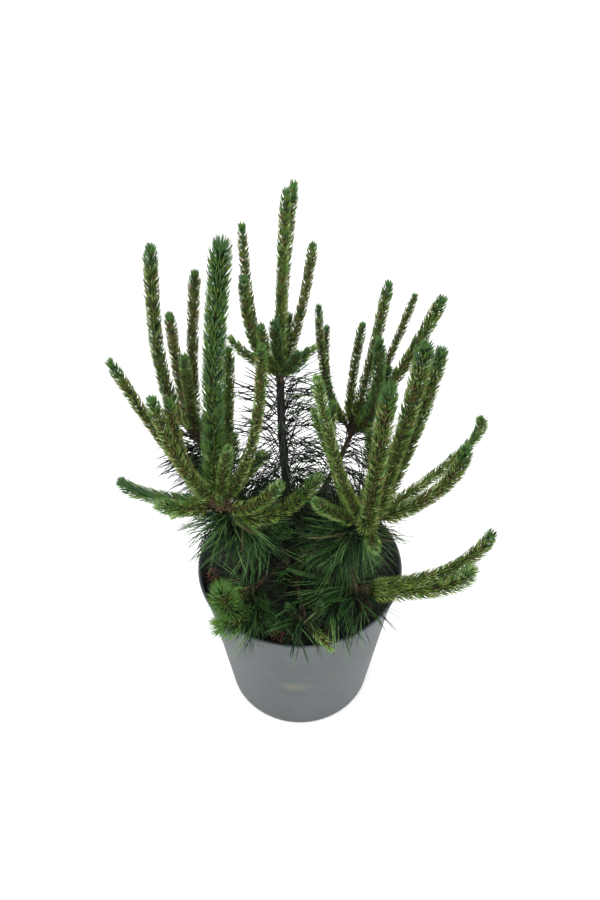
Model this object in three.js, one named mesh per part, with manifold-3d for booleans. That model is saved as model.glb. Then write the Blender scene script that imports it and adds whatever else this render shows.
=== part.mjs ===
// Mugo pine in a grey nursery pot. Millimetres, +Z up, the pot's flat underside in the plane z = 0.
// The trunk stands in the compost and carries nine boughs. Each bough, and the trunk's own tip, ends
// in a whorl of upright candle shoots. Last year's long needles stand round the stems below them.

import * as THREE from "three";
import { mergeVertices } from "three/addons/utils/BufferGeometryUtils.js";
import Module from "manifold-3d";

const wasm = await Module();
wasm.setup();

// Gap between two pieces that touch on the real plant.
const clearance = 0.3;

const pot = {
  footRadius: 99,
  heelRadius: 105,
  heelHeight: 6,
  collarRadius: 129.5,
  collarHeight: 190,
  rimRadius: 140,
  rimHeight: 247,
  lipProud: 1.2,
  lipHeight: 4,
  wall: 2.4,
  floor: 3,
  segments: 40,
};

const compost = {
  level: 229,
  lump: 3.2,
  lumpLength: 17,
  crossLump: 0.6,
  seatRadius: 40,
  edgeDrop: 3,
  ringStep: 44,
};

// Pressed cones of feed granules, set into the compost near the wall.
const feedCone = { radius: 11, height: 24, sunk: 6, shoulder: 0.55, sides: 8 };
const feedConePlaces = [
  [-28, -108],
  [39, -112],
  [87, -66],
  [-119, -17],
];

const trunk = {
  foot: [-9, 0, compost.level + clearance],
  lowBend: [-9, 0, 300],
  highBend: [-24, 12, 430],
  tip: [-23, 20, 548],
  footRadius: 8.6,
  tipRadius: 4.6,
  flare: 0.55,
  flareHeight: 13,
  flareRidges: 5,
  ridgeDepth: 0.3,
  sides: 12,
  rings: 16,
};

// Boughs: the radius where they leave the trunk and where they reach their whorl, the share of the
// way that is bare wood, and the shares of the way out and up that the first half covers.
const bough = {
  rootRadius: 4.6,
  endRadius: 3.4,
  bareShare: 0.38,
  level: 0.62,
  lift: 0.34,
  sides: 6,
  rings: 5,
};

// A whorl: the knot of bud scales where this year's shoots start.
const hub = { radius: 9.5, sides: 7, rings: 4 };

// Candle shoots: a slim core in bands, with a ring of needles standing out of each band. The core's
// radius is a share of the shoot's width, less at its root and tip.
const candle = {
  coreShare: 0.27,
  rootShare: 0.8,
  rootLength: 0.25,
  tipShare: 0.6,
  tipLength: 0.12,
  sides: 5,
  bandLength: 42,
  bareLength: 14,
  tipBack: 6,
};

// Needles on the shoots. Each stands for a spray of real ones and is larger than life. Leans are in
// degrees from the shoot's direction, and reach is a share of the shoot's width.
const candleNeedle = { lean: 31, leanSpread: 5, tipLean: -9, reach: 0.4 };

// Last year's needles, far longer and standing out from the stem, less so towards a bough's end,
// where endLean is taken off. grown is the share of a stem's faces that bear one.
const oldNeedle = {
  length: 62,
  lengthSpread: 14,
  lean: 74,
  leanSpread: 26,
  endLean: 28,
  rise: 0.12,
  grown: 0.38,
  bandLength: 11,
};

// Short side shoots that a seeded rule adds round each whorl.
const shortShoot = { reach: 20, reachSpread: 8, rise: 22, riseSpread: 14, width: 11 };

// Needled sleeves round the trunk: the shares of its length that each covers.
const sleeve = {
  wall: 1.8,
  sides: 9,
  boreSpare: 0.01,
  lower: [0.375, 0.625],
  upper: [0.627, 0.955],
};

// The seed of every random draw.
const growthSeed = 2;

const goldenAngle = Math.PI * (3 - Math.sqrt(5));
const degree = Math.PI / 180;

// Whorls and their shoots. turn is the compass direction (0 along +X, 90 along +Y), reach the level
// distance and rise the height from the whorl to the shoot's tip, and width the shoot with its
// needles. bend is how far it runs out before it turns up, or below 0 how far it first leans back.
// drift is a sideways bow, and droop a downward one, or below 0 an upward one.
const whorls = [
  {
    name: "leader",
    place: [-23, 20, 559],
    shortShoots: 2,
    shoots: [
      { turn: 47, reach: 25, rise: 226, width: 12, bend: 0.4, drift: 16, droop: 8 },
      { turn: -57, reach: 18, rise: 234, width: 11, bend: 0.5, drift: -9, droop: 3 },
      { turn: 198, reach: 37, rise: 196, width: 10, bend: 1.1, drift: 16, droop: 20 },
      { turn: -140, reach: 46, rise: 148, width: 11, bend: 1 },
      { turn: 162, reach: 62, rise: 40, width: 11, bend: 0.6 },
      { turn: -112, reach: 48, rise: 98, width: 11, bend: 0.6 },
      { turn: 28, reach: 42, rise: 158, width: 11, bend: 0.45 },
      { turn: -102, reach: 22, rise: 88, width: 13, bend: 0.4 },
      { turn: 70, reach: 32, rise: 64, width: 11, bend: 0.4 },
      { turn: -44, reach: 44, rise: 56, width: 11, bend: 0.4 },
      { turn: 42, reach: 58, rise: 12, width: 11, bend: 0.2 },
      { turn: -64, reach: 50, rise: 62, width: 12, bend: 0.2 },
    ],
  },
  {
    name: "left",
    place: [-100, -22, 386],
    boughHeight: 268,
    shortShoots: 3,
    shoots: [
      { turn: -16, reach: 26, rise: 373, width: 23, bend: -1.6, drift: -7, droop: 205 },
      { turn: 184, reach: 106, rise: 229, width: 13, bend: 0, drift: 13, droop: 28 },
      { turn: -145, reach: 72, rise: 206, width: 15, bend: 0.5, drift: 6, droop: 4 },
      { turn: -145, reach: 52, rise: 192, width: 14, bend: 0.9, drift: -4, droop: -4 },
      { turn: -32, reach: 72, rise: 270, width: 12, bend: 0.7, drift: 10, droop: -7 },
      { turn: -63, reach: 43, rise: 130, width: 13, bend: 0, drift: -3, droop: 1 },
      { turn: 2, reach: 58, rise: 87, width: 14, bend: 0.2, drift: 4, droop: -7 },
      { turn: -28, reach: 89, rise: 79, width: 14, bend: 0.3, drift: -14, droop: 21 },
      { turn: -2, reach: 127, rise: 57, width: 16, bend: -0.1, drift: -26, droop: 74 },
      { turn: 162, reach: 141, rise: 3, width: 18, bend: 0.9, drift: 2, droop: 34 },
      { turn: -151, reach: 86, rise: 43, width: 18, bend: -0.1, drift: 10, droop: 13 },
      { turn: -161, reach: 68, rise: 0, width: 16, bend: -0.6, drift: -6, droop: -12 },
      { turn: 57, reach: 37, rise: 218, width: 13, bend: 0.5, drift: -1, droop: -3 },
    ],
  },
  {
    name: "back_left",
    place: [-133, 45, 438],
    boughHeight: 292,
    shortShoots: 2,
    shoots: [
      { turn: 140, reach: 40, rise: 260, width: 16, bend: 1.3, drift: 26, droop: -7 },
      { turn: -128, reach: 20, rise: 198, width: 13, bend: 0.9, drift: 3 },
      { turn: 43, reach: 23, rise: 233, width: 13, bend: 0.1, drift: 14, droop: 5 },
      { turn: -86, reach: 36, rise: 156, width: 13, bend: 0.5 },
    ],
  },
  {
    name: "right",
    place: [86, -36, 367],
    boughHeight: 260,
    shortShoots: 3,
    shoots: [
      { turn: -155, reach: 56, rise: 214, width: 11, bend: 1, drift: -16, droop: -12 },
      { turn: -154, reach: 77, rise: 258, width: 12, bend: 0.4, drift: 24, droop: 31 },
      { turn: 169, reach: 72, rise: 174, width: 11, bend: 0.2, drift: 3, droop: 7 },
      { turn: -88, reach: 78, rise: 280, width: 18, bend: 1.2, drift: -16, droop: 2 },
      { turn: -41, reach: 54, rise: 301, width: 18, bend: 0.3, drift: 5, droop: -3 },
      { turn: -8, reach: 63, rise: 276, width: 17, bend: 0.3, drift: -6, droop: 11 },
      { turn: 22, reach: 141, rise: 127, width: 13, bend: 1.7, drift: 24, droop: -50 },
      { turn: -15, reach: 105, rise: 152, width: 17, bend: 0.9, drift: 9, droop: -14 },
      { turn: -155, reach: 77, rise: 73, width: 15, bend: 0.4, drift: -3, droop: -4 },
      { turn: -86, reach: 65, rise: 18, width: 15, bend: 0.2, drift: -1, droop: -1 },
    ],
  },
  {
    name: "back_right",
    place: [67, 55, 440],
    boughHeight: 304,
    shortShoots: 2,
    shoots: [
      { turn: 161, reach: 48, rise: 180, width: 10, bend: 0.8, drift: 2, droop: 20 },
      { turn: 130, reach: 53, rise: 135, width: 10, bend: 1.4, drift: 3, droop: -1 },
      { turn: 69, reach: 21, rise: 153, width: 11, bend: 0.8, drift: 16, droop: 10 },
      { turn: 7, reach: 33, rise: 218, width: 13, bend: 0.2, drift: 2, droop: -8 },
      { turn: 30, reach: 80, rise: 180, width: 10, bend: 0.2 },
      { turn: -62, reach: 46, rise: 172, width: 14, bend: 1.1, drift: 10 },
      { turn: 2, reach: 96, rise: 200, width: 15, bend: 0.3, drift: 1, droop: -5 },
      { turn: -34, reach: 46, rise: 122, width: 12, bend: 0.3 },
    ],
  },
  {
    name: "front_right",
    place: [71, -55, 257],
    boughHeight: 248,
    shortShoots: 1,
    shoots: [
      { turn: -3, reach: 166, rise: 124, width: 17, bend: 0.8, drift: -5, droop: 7 },
      { turn: -11, reach: 148, rise: 80, width: 20, bend: 0.9, drift: -2, droop: 5 },
    ],
  },
  {
    name: "front_left",
    place: [-68, -58, 254],
    boughHeight: 258,
    shortShoots: 1,
    shoots: [
      { turn: -124, reach: 55, rise: 76, width: 26, bend: 1.3, drift: 16, droop: 15 },
      { turn: -124, reach: 81, rise: 16, width: 26, bend: -0.7, drift: 56, droop: 21 },
    ],
  },
  {
    name: "front_low",
    place: [8, -112, 262],
    boughHeight: 240,
    shortShoots: 2,
    shoots: [{ turn: -50, reach: 52, rise: -8, width: 11, bend: 0.3 }],
  },
  {
    name: "low_back_left",
    place: [-100, 88, 320],
    boughHeight: 279,
    shortShoots: 2,
    shoots: [
      { turn: 96, reach: 30, rise: 134, width: 16, bend: 0.5 },
      { turn: 124, reach: 74, rise: 58, width: 17, bend: 0.6 },
      { turn: 84, reach: 58, rise: 40, width: 16, bend: 0.5 },
      { turn: 168, reach: 60, rise: 36, width: 15, bend: 0.6 },
    ],
  },
  {
    name: "low_back_right",
    place: [102, 98, 298],
    boughHeight: 270,
    shortShoots: 2,
    shoots: [
      { turn: 60, reach: 26, rise: 150, width: 16, bend: 0.5 },
      { turn: 50, reach: 72, rise: 42, width: 17, bend: 0.6 },
      { turn: 92, reach: 52, rise: 80, width: 16, bend: 0.5 },
      { turn: 18, reach: 40, rise: 20, width: 16, bend: 0.6 },
    ],
  },
];

// A seeded number from 0 to 1 for one needle or shoot. draw tells its separate draws apart.
function chance(seed, index, draw) {
  const wave = Math.sin((seed + growthSeed) * 78.233 + index * 12.9898 + draw * 37.719) * 43758.5453;
  return wave - Math.floor(wave);
}

// The same, from -1 to 1.
function spread(seed, index, draw) {
  return chance(seed, index, draw) * 2 - 1;
}

// A solid from the corners and triangles of a closed surface.
function solidFrom(geometry) {
  geometry.deleteAttribute("normal");
  geometry.deleteAttribute("uv");
  const merged = mergeVertices(geometry);
  return new wasm.Manifold(
    new wasm.Mesh({
      numProp: 3,
      vertProperties: new Float32Array(merged.attributes.position.array),
      triVerts: new Uint32Array(merged.index.array),
    }),
  );
}

function geometryFrom(solid) {
  const { numProp, vertProperties, triVerts } = solid.getMesh();
  const positions = new THREE.BufferAttribute(new Float32Array(vertProperties), numProp);
  const geometry = new THREE.BufferGeometry().setAttribute("position", positions);
  geometry.setIndex(new THREE.BufferAttribute(new Uint32Array(triVerts), 1));
  geometry.computeVertexNormals();
  return geometry;
}

function closedGeometry(corners, faces) {
  const geometry = new THREE.BufferGeometry();
  geometry.setAttribute("position", new THREE.Float32BufferAttribute(corners, 3));
  geometry.setIndex(faces);
  return geometry;
}

// A turned shape, from its profile of [radius, height] points, with its axis along +Z.
function turned(profile, segments) {
  const points = profile.map(([radius, height]) => new THREE.Vector2(radius, height));
  return new THREE.LatheGeometry(points, segments).rotateX(Math.PI / 2);
}

// A limb is a bent axis, and the direction across the plane that it bends in.
function limbAlong(axis) {
  const start = axis.getPoint(0);
  const chord = axis.getPoint(1).sub(start);
  const across = chord.clone().cross(axis.getPoint(0.5).sub(start));
  if (across.length() < 1) {
    across.set(-chord.y, chord.x, 0);
  }
  if (across.length() < 1) {
    across.set(0, 1, 0);
  }
  return { axis, across: across.normalize(), length: axis.getLength() };
}

// The limb's place at share t, its direction there, and two directions square to it.
function stationOn(limb, t) {
  const along = limb.axis.getTangent(t);
  const side = limb.across.clone().addScaledVector(along, -limb.across.dot(along)).normalize();
  return { place: limb.axis.getPoint(t), along, side, up: along.clone().cross(side) };
}

// A direction square to the limb, at an angle round it.
function outFrom(station, angle) {
  return station.side
    .clone()
    .multiplyScalar(Math.cos(angle))
    .addScaledVector(station.up, Math.sin(angle));
}

// A closed tube round a limb from share `from` to share `to`, in bands of triangles that point up
// and down its length in turn. tipOf gives the tip of the needle that rises from a triangle, or null.
function tubeSolid(limb, [from, to], bands, sides, radiusAt, tipOf = () => null) {
  const rings = [];
  for (let ring = 0; ring <= bands; ring += 1) {
    const t = from + ((to - from) * ring) / bands;
    const station = stationOn(limb, t);
    for (let side = 0; side < sides; side += 1) {
      const angle = (2 * Math.PI * (side + ring / 2)) / sides;
      rings.push(outFrom(station, angle).multiplyScalar(radiusAt(t, angle)).add(station.place));
    }
  }
  const corners = [...rings];
  const faces = [];
  const addFace = (a, b, c, t, angle) => {
    const tip = tipOf(t, angle, faces.length / 3);
    if (!tip) {
      faces.push(a, b, c);
      return;
    }
    const peak = corners.push(tip) - 1;
    faces.push(a, b, peak, b, c, peak, c, a, peak);
  };
  for (let band = 0; band < bands; band += 1) {
    const t = from + ((to - from) * (band + 0.5)) / bands;
    for (let side = 0; side < sides; side += 1) {
      const next = (side + 1) % sides;
      const low = band * sides;
      const high = low + sides;
      const angle = (2 * Math.PI * (side + 0.5 + band / 2)) / sides;
      addFace(low + side, low + next, high + side, t, angle);
      addFace(low + next, high + next, high + side, t, angle + Math.PI / sides);
    }
  }
  const last = bands * sides;
  for (let side = 1; side < sides - 1; side += 1) {
    faces.push(0, side + 1, side, last, last + side, last + side + 1);
  }
  return solidFrom(closedGeometry(corners.flatMap((corner) => corner.toArray()), faces));
}

// Balls that each limb and needle fills, each with its owner, so that a mass keeps to its own space.
const taken = [];
const ballSpacing = 5;
const needleRoom = 3.2;

function take(owner, place, radius) {
  taken.push({ owner, place, radius });
}

function takeLimb(owner, limb, from, to, radiusAt) {
  const balls = Math.max(2, Math.ceil((limb.length * (to - from)) / ballSpacing));
  for (let ball = 0; ball <= balls; ball += 1) {
    const t = from + ((to - from) * ball) / balls;
    take(owner, stationOn(limb, t).place, radiusAt(t, 0));
  }
}

function potRadiusAt(height) {
  const onCollar = height > pot.collarHeight;
  const [lowRadius, lowHeight] = onCollar
    ? [pot.collarRadius, pot.collarHeight]
    : [pot.heelRadius, pot.heelHeight];
  const [highRadius, highHeight] = onCollar
    ? [pot.rimRadius, pot.rimHeight]
    : [pot.collarRadius, pot.collarHeight];
  return lowRadius + ((highRadius - lowRadius) * (height - lowHeight)) / (highHeight - lowHeight);
}

// True where a point keeps clear of the pot's wall and of the compost in it.
function clearOfPot(place, margin) {
  const radius = Math.hypot(place.x, place.y);
  if (place.z > pot.rimHeight + margin) {
    return true;
  }
  if (radius < potRadiusAt(place.z) - pot.wall - margin) {
    return place.z > compost.level + compost.lump * 2 + margin;
  }
  return radius > potRadiusAt(place.z) + pot.lipProud + margin;
}

function clearOfOthers(owner, place, margin) {
  return taken.every(
    (ball) => ball.owner === owner || ball.place.distanceTo(place) > ball.radius + margin,
  );
}

// A needle's tip, or null where the needle would leave its mass's space.
function freeTip(owner, root, along, length) {
  const balls = Math.ceil(length / ballSpacing);
  const places = [];
  for (let ball = 1; ball <= balls; ball += 1) {
    places.push(root.clone().addScaledVector(along, (length * ball) / balls));
  }
  if (!places.every((place) => clearOfPot(place, needleRoom) && clearOfOthers(owner, place, needleRoom))) {
    return null;
  }
  places.forEach((place) => take(owner, place, needleRoom));
  return places.at(-1);
}

const trunkLimb = limbAlong(
  new THREE.CubicBezierCurve3(
    new THREE.Vector3(...trunk.foot),
    new THREE.Vector3(...trunk.lowBend),
    new THREE.Vector3(...trunk.highBend),
    new THREE.Vector3(...trunk.tip),
  ),
);

// The trunk's taper, with ridges that swell into the root flare at its foot.
function trunkRadiusAt(t, angle) {
  const straight = trunk.footRadius + (trunk.tipRadius - trunk.footRadius) * Math.sqrt(t);
  const height = trunkLimb.axis.getPoint(t).z - compost.level;
  const ridge = 1 - trunk.ridgeDepth * (1 - Math.cos(trunk.flareRidges * angle));
  return straight * (1 + trunk.flare * ridge * Math.exp(-height / trunk.flareHeight));
}

// Times that the search for a share of the trunk's axis halves its range.
const shareHalvings = 30;

// The share of the trunk's axis at a height.
function trunkShareAt(height) {
  let low = 0;
  let high = 1;
  for (let halving = 0; halving < shareHalvings; halving += 1) {
    const middle = (low + high) / 2;
    if (trunkLimb.axis.getPoint(middle).z < height) {
      low = middle;
    } else {
      high = middle;
    }
  }
  return low;
}

function trunkSolid(extra) {
  const radiusAt = (t, angle) => trunkRadiusAt(t, angle) + extra;
  return tubeSolid(trunkLimb, [0, 1], trunk.rings, trunk.sides, radiusAt);
}

// The stem to a whorl: it leaves the trunk nearly level and turns up. The leader's stem goes
// straight on from the trunk's tip.
function stemLimb(whorl) {
  const start = trunkLimb.axis.getPoint(whorl.boughHeight ? trunkShareAt(whorl.boughHeight) : 1);
  const end = new THREE.Vector3(...whorl.place);
  const way = end.clone().sub(start);
  const level = whorl.boughHeight ? bough.level : 0.5;
  const lift = whorl.boughHeight ? bough.lift : 0.5;
  const bend = start.clone().add(new THREE.Vector3(way.x * level, way.y * level, way.z * lift));
  return limbAlong(new THREE.QuadraticBezierCurve3(start, bend, end));
}

function stemRadiusAt(t) {
  return bough.rootRadius + (bough.endRadius - bough.rootRadius) * t;
}

// A shoot's axis: it leaves its whorl outwards and turns up towards its tip.
function shootLimb(place, shoot) {
  const { bend = 0.5, drift = 0, droop = 0 } = shoot;
  const start = new THREE.Vector3(...place);
  const outX = Math.cos(shoot.turn * degree);
  const outY = Math.sin(shoot.turn * degree);
  const end = start.clone().add(new THREE.Vector3(outX * shoot.reach, outY * shoot.reach, shoot.rise));
  const out = shoot.reach * (0.5 + bend / 2);
  const control = start
    .clone()
    .add(new THREE.Vector3(outX * out, outY * out, shoot.rise * (0.5 - bend / 4) - droop))
    .add(new THREE.Vector3(-outY * drift, outX * drift, 0));
  return limbAlong(new THREE.QuadraticBezierCurve3(start, control, end));
}

// A core's radius: full over most of the shoot and drawn in towards both ends.
function coreRadiusAt(shoot, t) {
  const root = candle.rootShare + (1 - candle.rootShare) * Math.min(1, t / candle.rootLength);
  const tip = candle.tipShare + (1 - candle.tipShare) * Math.min(1, (1 - t) / candle.tipLength);
  return shoot.width * candle.coreShare * root * tip;
}

// The given shoots and the short ones that the seeded rule adds between them.
function shootsOf(whorl, seed) {
  const added = [];
  for (let index = 0; index < whorl.shortShoots; index += 1) {
    added.push({
      turn: (goldenAngle * (index + seed)) / degree,
      reach: shortShoot.reach + shortShoot.reachSpread * spread(seed, index, 1),
      rise: shortShoot.rise + shortShoot.riseSpread * spread(seed, index, 2),
      width: shortShoot.width,
    });
  }
  return [...whorl.shoots, ...added];
}

// A tube with needles: each leans from the limb's direction by leanAt(t, index) degrees.
function needledTube(owner, limb, stretch, bands, sides, radiusAt, needle) {
  return tubeSolid(limb, stretch, bands, sides, radiusAt, (t, angle, index) => {
    if (!needle.growsAt(t, index)) {
      return null;
    }
    const station = stationOn(limb, t);
    const lean = needle.leanAt(t, index) * degree;
    const out = outFrom(station, angle);
    const along = station.along.clone().multiplyScalar(Math.cos(lean)).addScaledVector(out, Math.sin(lean));
    along.z += needle.rise;
    const root = station.place.addScaledVector(out, radiusAt(t, angle) / 2);
    return freeTip(owner, root, along.normalize(), needle.lengthAt(t, index));
  });
}

// A shoot's solid, with this year's needles on every second face, closer to its axis at its tip.
function shootSolid(owner, shoot, seed) {
  const bands = Math.max(3, Math.round(shoot.limb.length / candle.bandLength));
  const bareTo = candle.bareLength / shoot.limb.length;
  const leanAt = (t, index) =>
    candleNeedle.lean + candleNeedle.leanSpread * spread(seed, index, 3) + candleNeedle.tipLean * t;
  const needle = {
    growsAt: (t, index) => t > bareTo && index % 2 < 1,
    leanAt,
    lengthAt: (t, index) => (shoot.width * candleNeedle.reach) / Math.sin(leanAt(t, index) * degree),
    rise: 0,
  };
  const radiusAt = (t) => coreRadiusAt(shoot, t);
  return needledTube(owner, shoot.limb, [0, shoot.coreEnd], bands, candle.sides, radiusAt, needle);
}

// A stretch of stem or sleeve with last year's needles on some of its faces.
function oldStemSolid(owner, limb, [from, to], sides, radiusAt, seed, endLean = 0) {
  const bands = Math.round(((to - from) * limb.length) / oldNeedle.bandLength);
  const needle = {
    growsAt: (t, index) => chance(seed, index, 6) < oldNeedle.grown,
    leanAt: (t, index) => oldNeedle.lean - endLean * t * t + oldNeedle.leanSpread * spread(seed, index, 4),
    lengthAt: (t, index) => oldNeedle.length + oldNeedle.lengthSpread * spread(seed, index, 5),
    rise: oldNeedle.rise,
  };
  return needledTube(owner, limb, [from, to], bands, sides, radiusAt, needle);
}

// Edges shorter than this, left where needles cross, are drawn together.
const shortestEdge = 0.03;

// The pieces as one body: fusing may seal a hollow or leave a loose scrap, which are left out.
function fused(first, others) {
  const whole = others.reduce((sum, piece) => sum.add(piece), first);
  const body = whole.decompose().sort((a, b) => b.volume() - a.volume())[0];
  return body.simplify(shortestEdge);
}

const plant = new THREE.Group();

function addPiece(name, geometry, color, roughness) {
  const mesh = new THREE.Mesh(geometry, new THREE.MeshStandardMaterial({ color, roughness, metalness: 0 }));
  mesh.name = name;
  plant.add(mesh);
}

function potGeometry() {
  const innerRim = pot.rimRadius - pot.wall;
  const innerCollar = pot.collarRadius - pot.wall;
  const innerHeel = pot.heelRadius - pot.wall;
  const heelRound = pot.heelRadius - (pot.heelRadius - pot.footRadius) / 4;
  return turned(
    [
      [0, 0],
      [pot.footRadius, 0],
      [heelRound, pot.heelHeight / 4],
      [pot.heelRadius, pot.heelHeight],
      [pot.collarRadius, pot.collarHeight],
      [potRadiusAt(pot.rimHeight - pot.lipHeight), pot.rimHeight - pot.lipHeight],
      [pot.rimRadius + pot.lipProud, pot.rimHeight - pot.lipHeight + pot.lipProud],
      [pot.rimRadius + pot.lipProud, pot.rimHeight - pot.lipProud],
      [pot.rimRadius, pot.rimHeight],
      [innerRim + pot.wall / 4, pot.rimHeight],
      [innerRim, pot.rimHeight - pot.wall / 4],
      [innerCollar, pot.collarHeight],
      [innerHeel, pot.heelHeight + pot.floor],
      [innerHeel - pot.heelHeight, pot.floor],
      [0, pot.floor],
    ],
    pot.segments,
  );
}

// The compost's height: lumps that fade out at the trunk's seat and at the pot's wall.
function compostHeight(x, y) {
  const step = compost.lumpLength;
  const crossLumps = compost.crossLump * Math.sin((x - 2 * y) / step);
  const lumps = Math.sin(x / step + 1) * Math.cos(y / step) + crossLumps;
  const fromTrunk = Math.hypot(x - trunk.foot[0], y - trunk.foot[1]) / compost.seatRadius;
  const fade = Math.min(1, Math.max(0, fromTrunk - 1));
  return compost.level + compost.lump * lumps * fade;
}

function compostGeometry() {
  const gap = pot.wall + clearance;
  const edgeHeight = compost.level - compost.edgeDrop;
  const edgeRadius = potRadiusAt(edgeHeight) - gap;
  const profile = [
    [0, pot.floor + clearance],
    [pot.heelRadius - gap - pot.heelHeight - clearance, pot.floor + clearance],
    [pot.heelRadius - gap, pot.heelHeight + pot.floor + clearance],
    [pot.collarRadius - gap, pot.collarHeight],
    [edgeRadius, edgeHeight],
  ];
  for (let radius = edgeRadius - compost.ringStep; radius > 1; radius -= compost.ringStep) {
    profile.push([radius, compost.level]);
  }
  profile.push([0, compost.level]);
  const geometry = turned(profile, pot.segments);
  const position = geometry.attributes.position;
  for (let index = 0; index < position.count; index += 1) {
    if (position.getZ(index) > compost.level - 1) {
      position.setZ(index, compostHeight(position.getX(index), position.getY(index)));
    }
  }
  return geometry;
}

// A feed cone with its pointed end up; extra widens it for its seat in the compost.
function feedConeSolid([x, y], extra) {
  const { radius, height, sunk, shoulder, sides } = feedCone;
  const profile = [
    [0, -sunk - extra],
    [radius + extra, -sunk - extra],
    [radius + extra, extra],
    [radius * shoulder + extra, height * shoulder + extra],
    [0, height + extra],
  ];
  return solidFrom(turned(profile, sides).translate(x, y, compost.level));
}

const compostSolid = feedConePlaces.reduce(
  (whole, place) => whole.subtract(feedConeSolid(place, clearance)),
  solidFrom(compostGeometry()),
);
addPiece("pot", geometryFrom(solidFrom(potGeometry())), 0x7d8789, 0.5);
addPiece("compost", geometryFrom(compostSolid), 0x2a1d15, 0.95);
feedConePlaces.forEach(([x, y], number) => {
  addPiece(`feed_cone_${number + 1}`, geometryFrom(feedConeSolid([x, y], 0)), 0x6e3a28, 0.85);
  take("feed_cone", new THREE.Vector3(x, y, compost.level), feedCone.radius);
  take("feed_cone", new THREE.Vector3(x, y, compost.level + feedCone.height / 2), feedCone.radius);
});
addPiece("trunk", geometryFrom(trunkSolid(0)), 0x4a3a2c, 0.9);
takeLimb("trunk", trunkLimb, 0, 1, trunkRadiusAt);

// Every limb takes its space first, and the needles grow into what is left.
for (const whorl of whorls) {
  whorl.stem = stemLimb(whorl);
  whorl.bareShare = whorl.boughHeight ? bough.bareShare : 0;
  takeLimb(`bough_${whorl.name}`, whorl.stem, 0, whorl.bareShare, stemRadiusAt);
  takeLimb(whorl.name, whorl.stem, whorl.bareShare, 1, stemRadiusAt);
}
whorls.forEach((whorl, number) => {
  whorl.grown = shootsOf(whorl, number + 1).map((shoot) => {
    const limb = shootLimb(whorl.place, shoot);
    return { ...shoot, limb, coreEnd: 1 - candle.tipBack / limb.length };
  });
  for (const shoot of whorl.grown) {
    takeLimb(whorl.name, shoot.limb, 0, shoot.coreEnd, (t) => coreRadiusAt(shoot, t));
  }
});

const trunkRoom = trunkSolid(clearance);
for (const whorl of whorls.filter(({ boughHeight }) => boughHeight)) {
  const solid = tubeSolid(whorl.stem, [0, bough.bareShare], bough.rings, bough.sides, stemRadiusAt);
  addPiece(`bough_${whorl.name}`, geometryFrom(solid.subtract(trunkRoom)), 0x5a4030, 0.9);
}

// A whorl's mass: the knot, its shoots with their needles, and the needled stem that leads to it.
function massSolid(whorl, seed) {
  const place = new THREE.Vector3(...whorl.place);
  const knot = new THREE.SphereGeometry(hub.radius, hub.sides, hub.rings);
  knot.translate(place.x, place.y, place.z);
  const shoots = whorl.grown.map((shoot, index) => shootSolid(whorl.name, shoot, seed * 20 + index));
  const stretch = [whorl.bareShare + clearance / whorl.stem.length, 1];
  const endLean = whorl.boughHeight ? oldNeedle.endLean : 0;
  const stem = oldStemSolid(whorl.name, whorl.stem, stretch, bough.sides, stemRadiusAt, seed, endLean);
  return fused(solidFrom(knot), [stem, ...shoots]);
}

whorls.forEach((whorl, number) => {
  addPiece(`shoots_${whorl.name}`, geometryFrom(massSolid(whorl, number + 1)), 0x3d6135, 0.7);
});

// A sleeve of old needles that the trunk runs up through. The bore runs out past both its ends.
function sleeveSolid(owner, [from, to], seed) {
  const inner = (t) => trunkRadiusAt(t, 0) + clearance * 2;
  const outer = (t) => inner(t) + sleeve.wall;
  const stretch = [from - sleeve.boreSpare, to + sleeve.boreSpare];
  const bore = tubeSolid(trunkLimb, stretch, trunk.rings / 2, trunk.sides, inner);
  return oldStemSolid(owner, trunkLimb, [from, to], sleeve.sides, outer, seed).subtract(bore);
}

const sleeves = [
  ["trunk_needles_lower", sleeve.lower],
  ["trunk_needles_upper", sleeve.upper],
];
sleeves.forEach(([name, stretch], number) => {
  const seed = whorls.length + number + 1;
  addPiece(name, geometryFrom(sleeveSolid(name, stretch, seed)), 0x24402a, 0.6);
});

export default plant;
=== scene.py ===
import itertools
import math

import bpy
import numpy as np
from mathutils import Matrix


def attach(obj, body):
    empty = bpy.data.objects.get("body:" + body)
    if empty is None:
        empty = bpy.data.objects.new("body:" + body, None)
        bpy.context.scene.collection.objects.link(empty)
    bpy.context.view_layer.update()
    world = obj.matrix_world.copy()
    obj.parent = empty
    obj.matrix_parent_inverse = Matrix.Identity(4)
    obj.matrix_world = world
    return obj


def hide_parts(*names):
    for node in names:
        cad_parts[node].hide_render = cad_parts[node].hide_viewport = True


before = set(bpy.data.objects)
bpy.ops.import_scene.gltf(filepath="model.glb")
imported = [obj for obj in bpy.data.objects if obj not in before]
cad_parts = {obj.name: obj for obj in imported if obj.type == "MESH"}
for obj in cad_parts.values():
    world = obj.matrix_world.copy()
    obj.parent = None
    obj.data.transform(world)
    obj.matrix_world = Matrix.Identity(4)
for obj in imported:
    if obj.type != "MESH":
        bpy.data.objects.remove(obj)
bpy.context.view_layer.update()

# Mugo pine in a grey nursery pot. Sizes below are millimetres, +Z up, and become metres as a mesh
# is made. The limbs and shoots grow by the rule and the seed of the plant's CAD source.
millimetre = 0.001
degree = math.pi / 180
goldenAngle = math.pi * (3 - math.sqrt(5))
growthSeed = 2


def chance(seed, index, draw):
    # A number from 0 to 1: what is left of a large multiple of a sine after its whole part goes.
    wave = np.sin((seed + growthSeed) * 78.233 + index * 12.9898 + draw * 37.719) * 43758.5453
    return wave - np.floor(wave)


def spread(seed, index, draw):
    # The same number, from -1 to 1.
    return chance(seed, index, draw) * 2 - 1


def unit(vectors):
    # Each vector divided by its length.
    return vectors / np.linalg.norm(vectors, axis=-1, keepdims=True)


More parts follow.
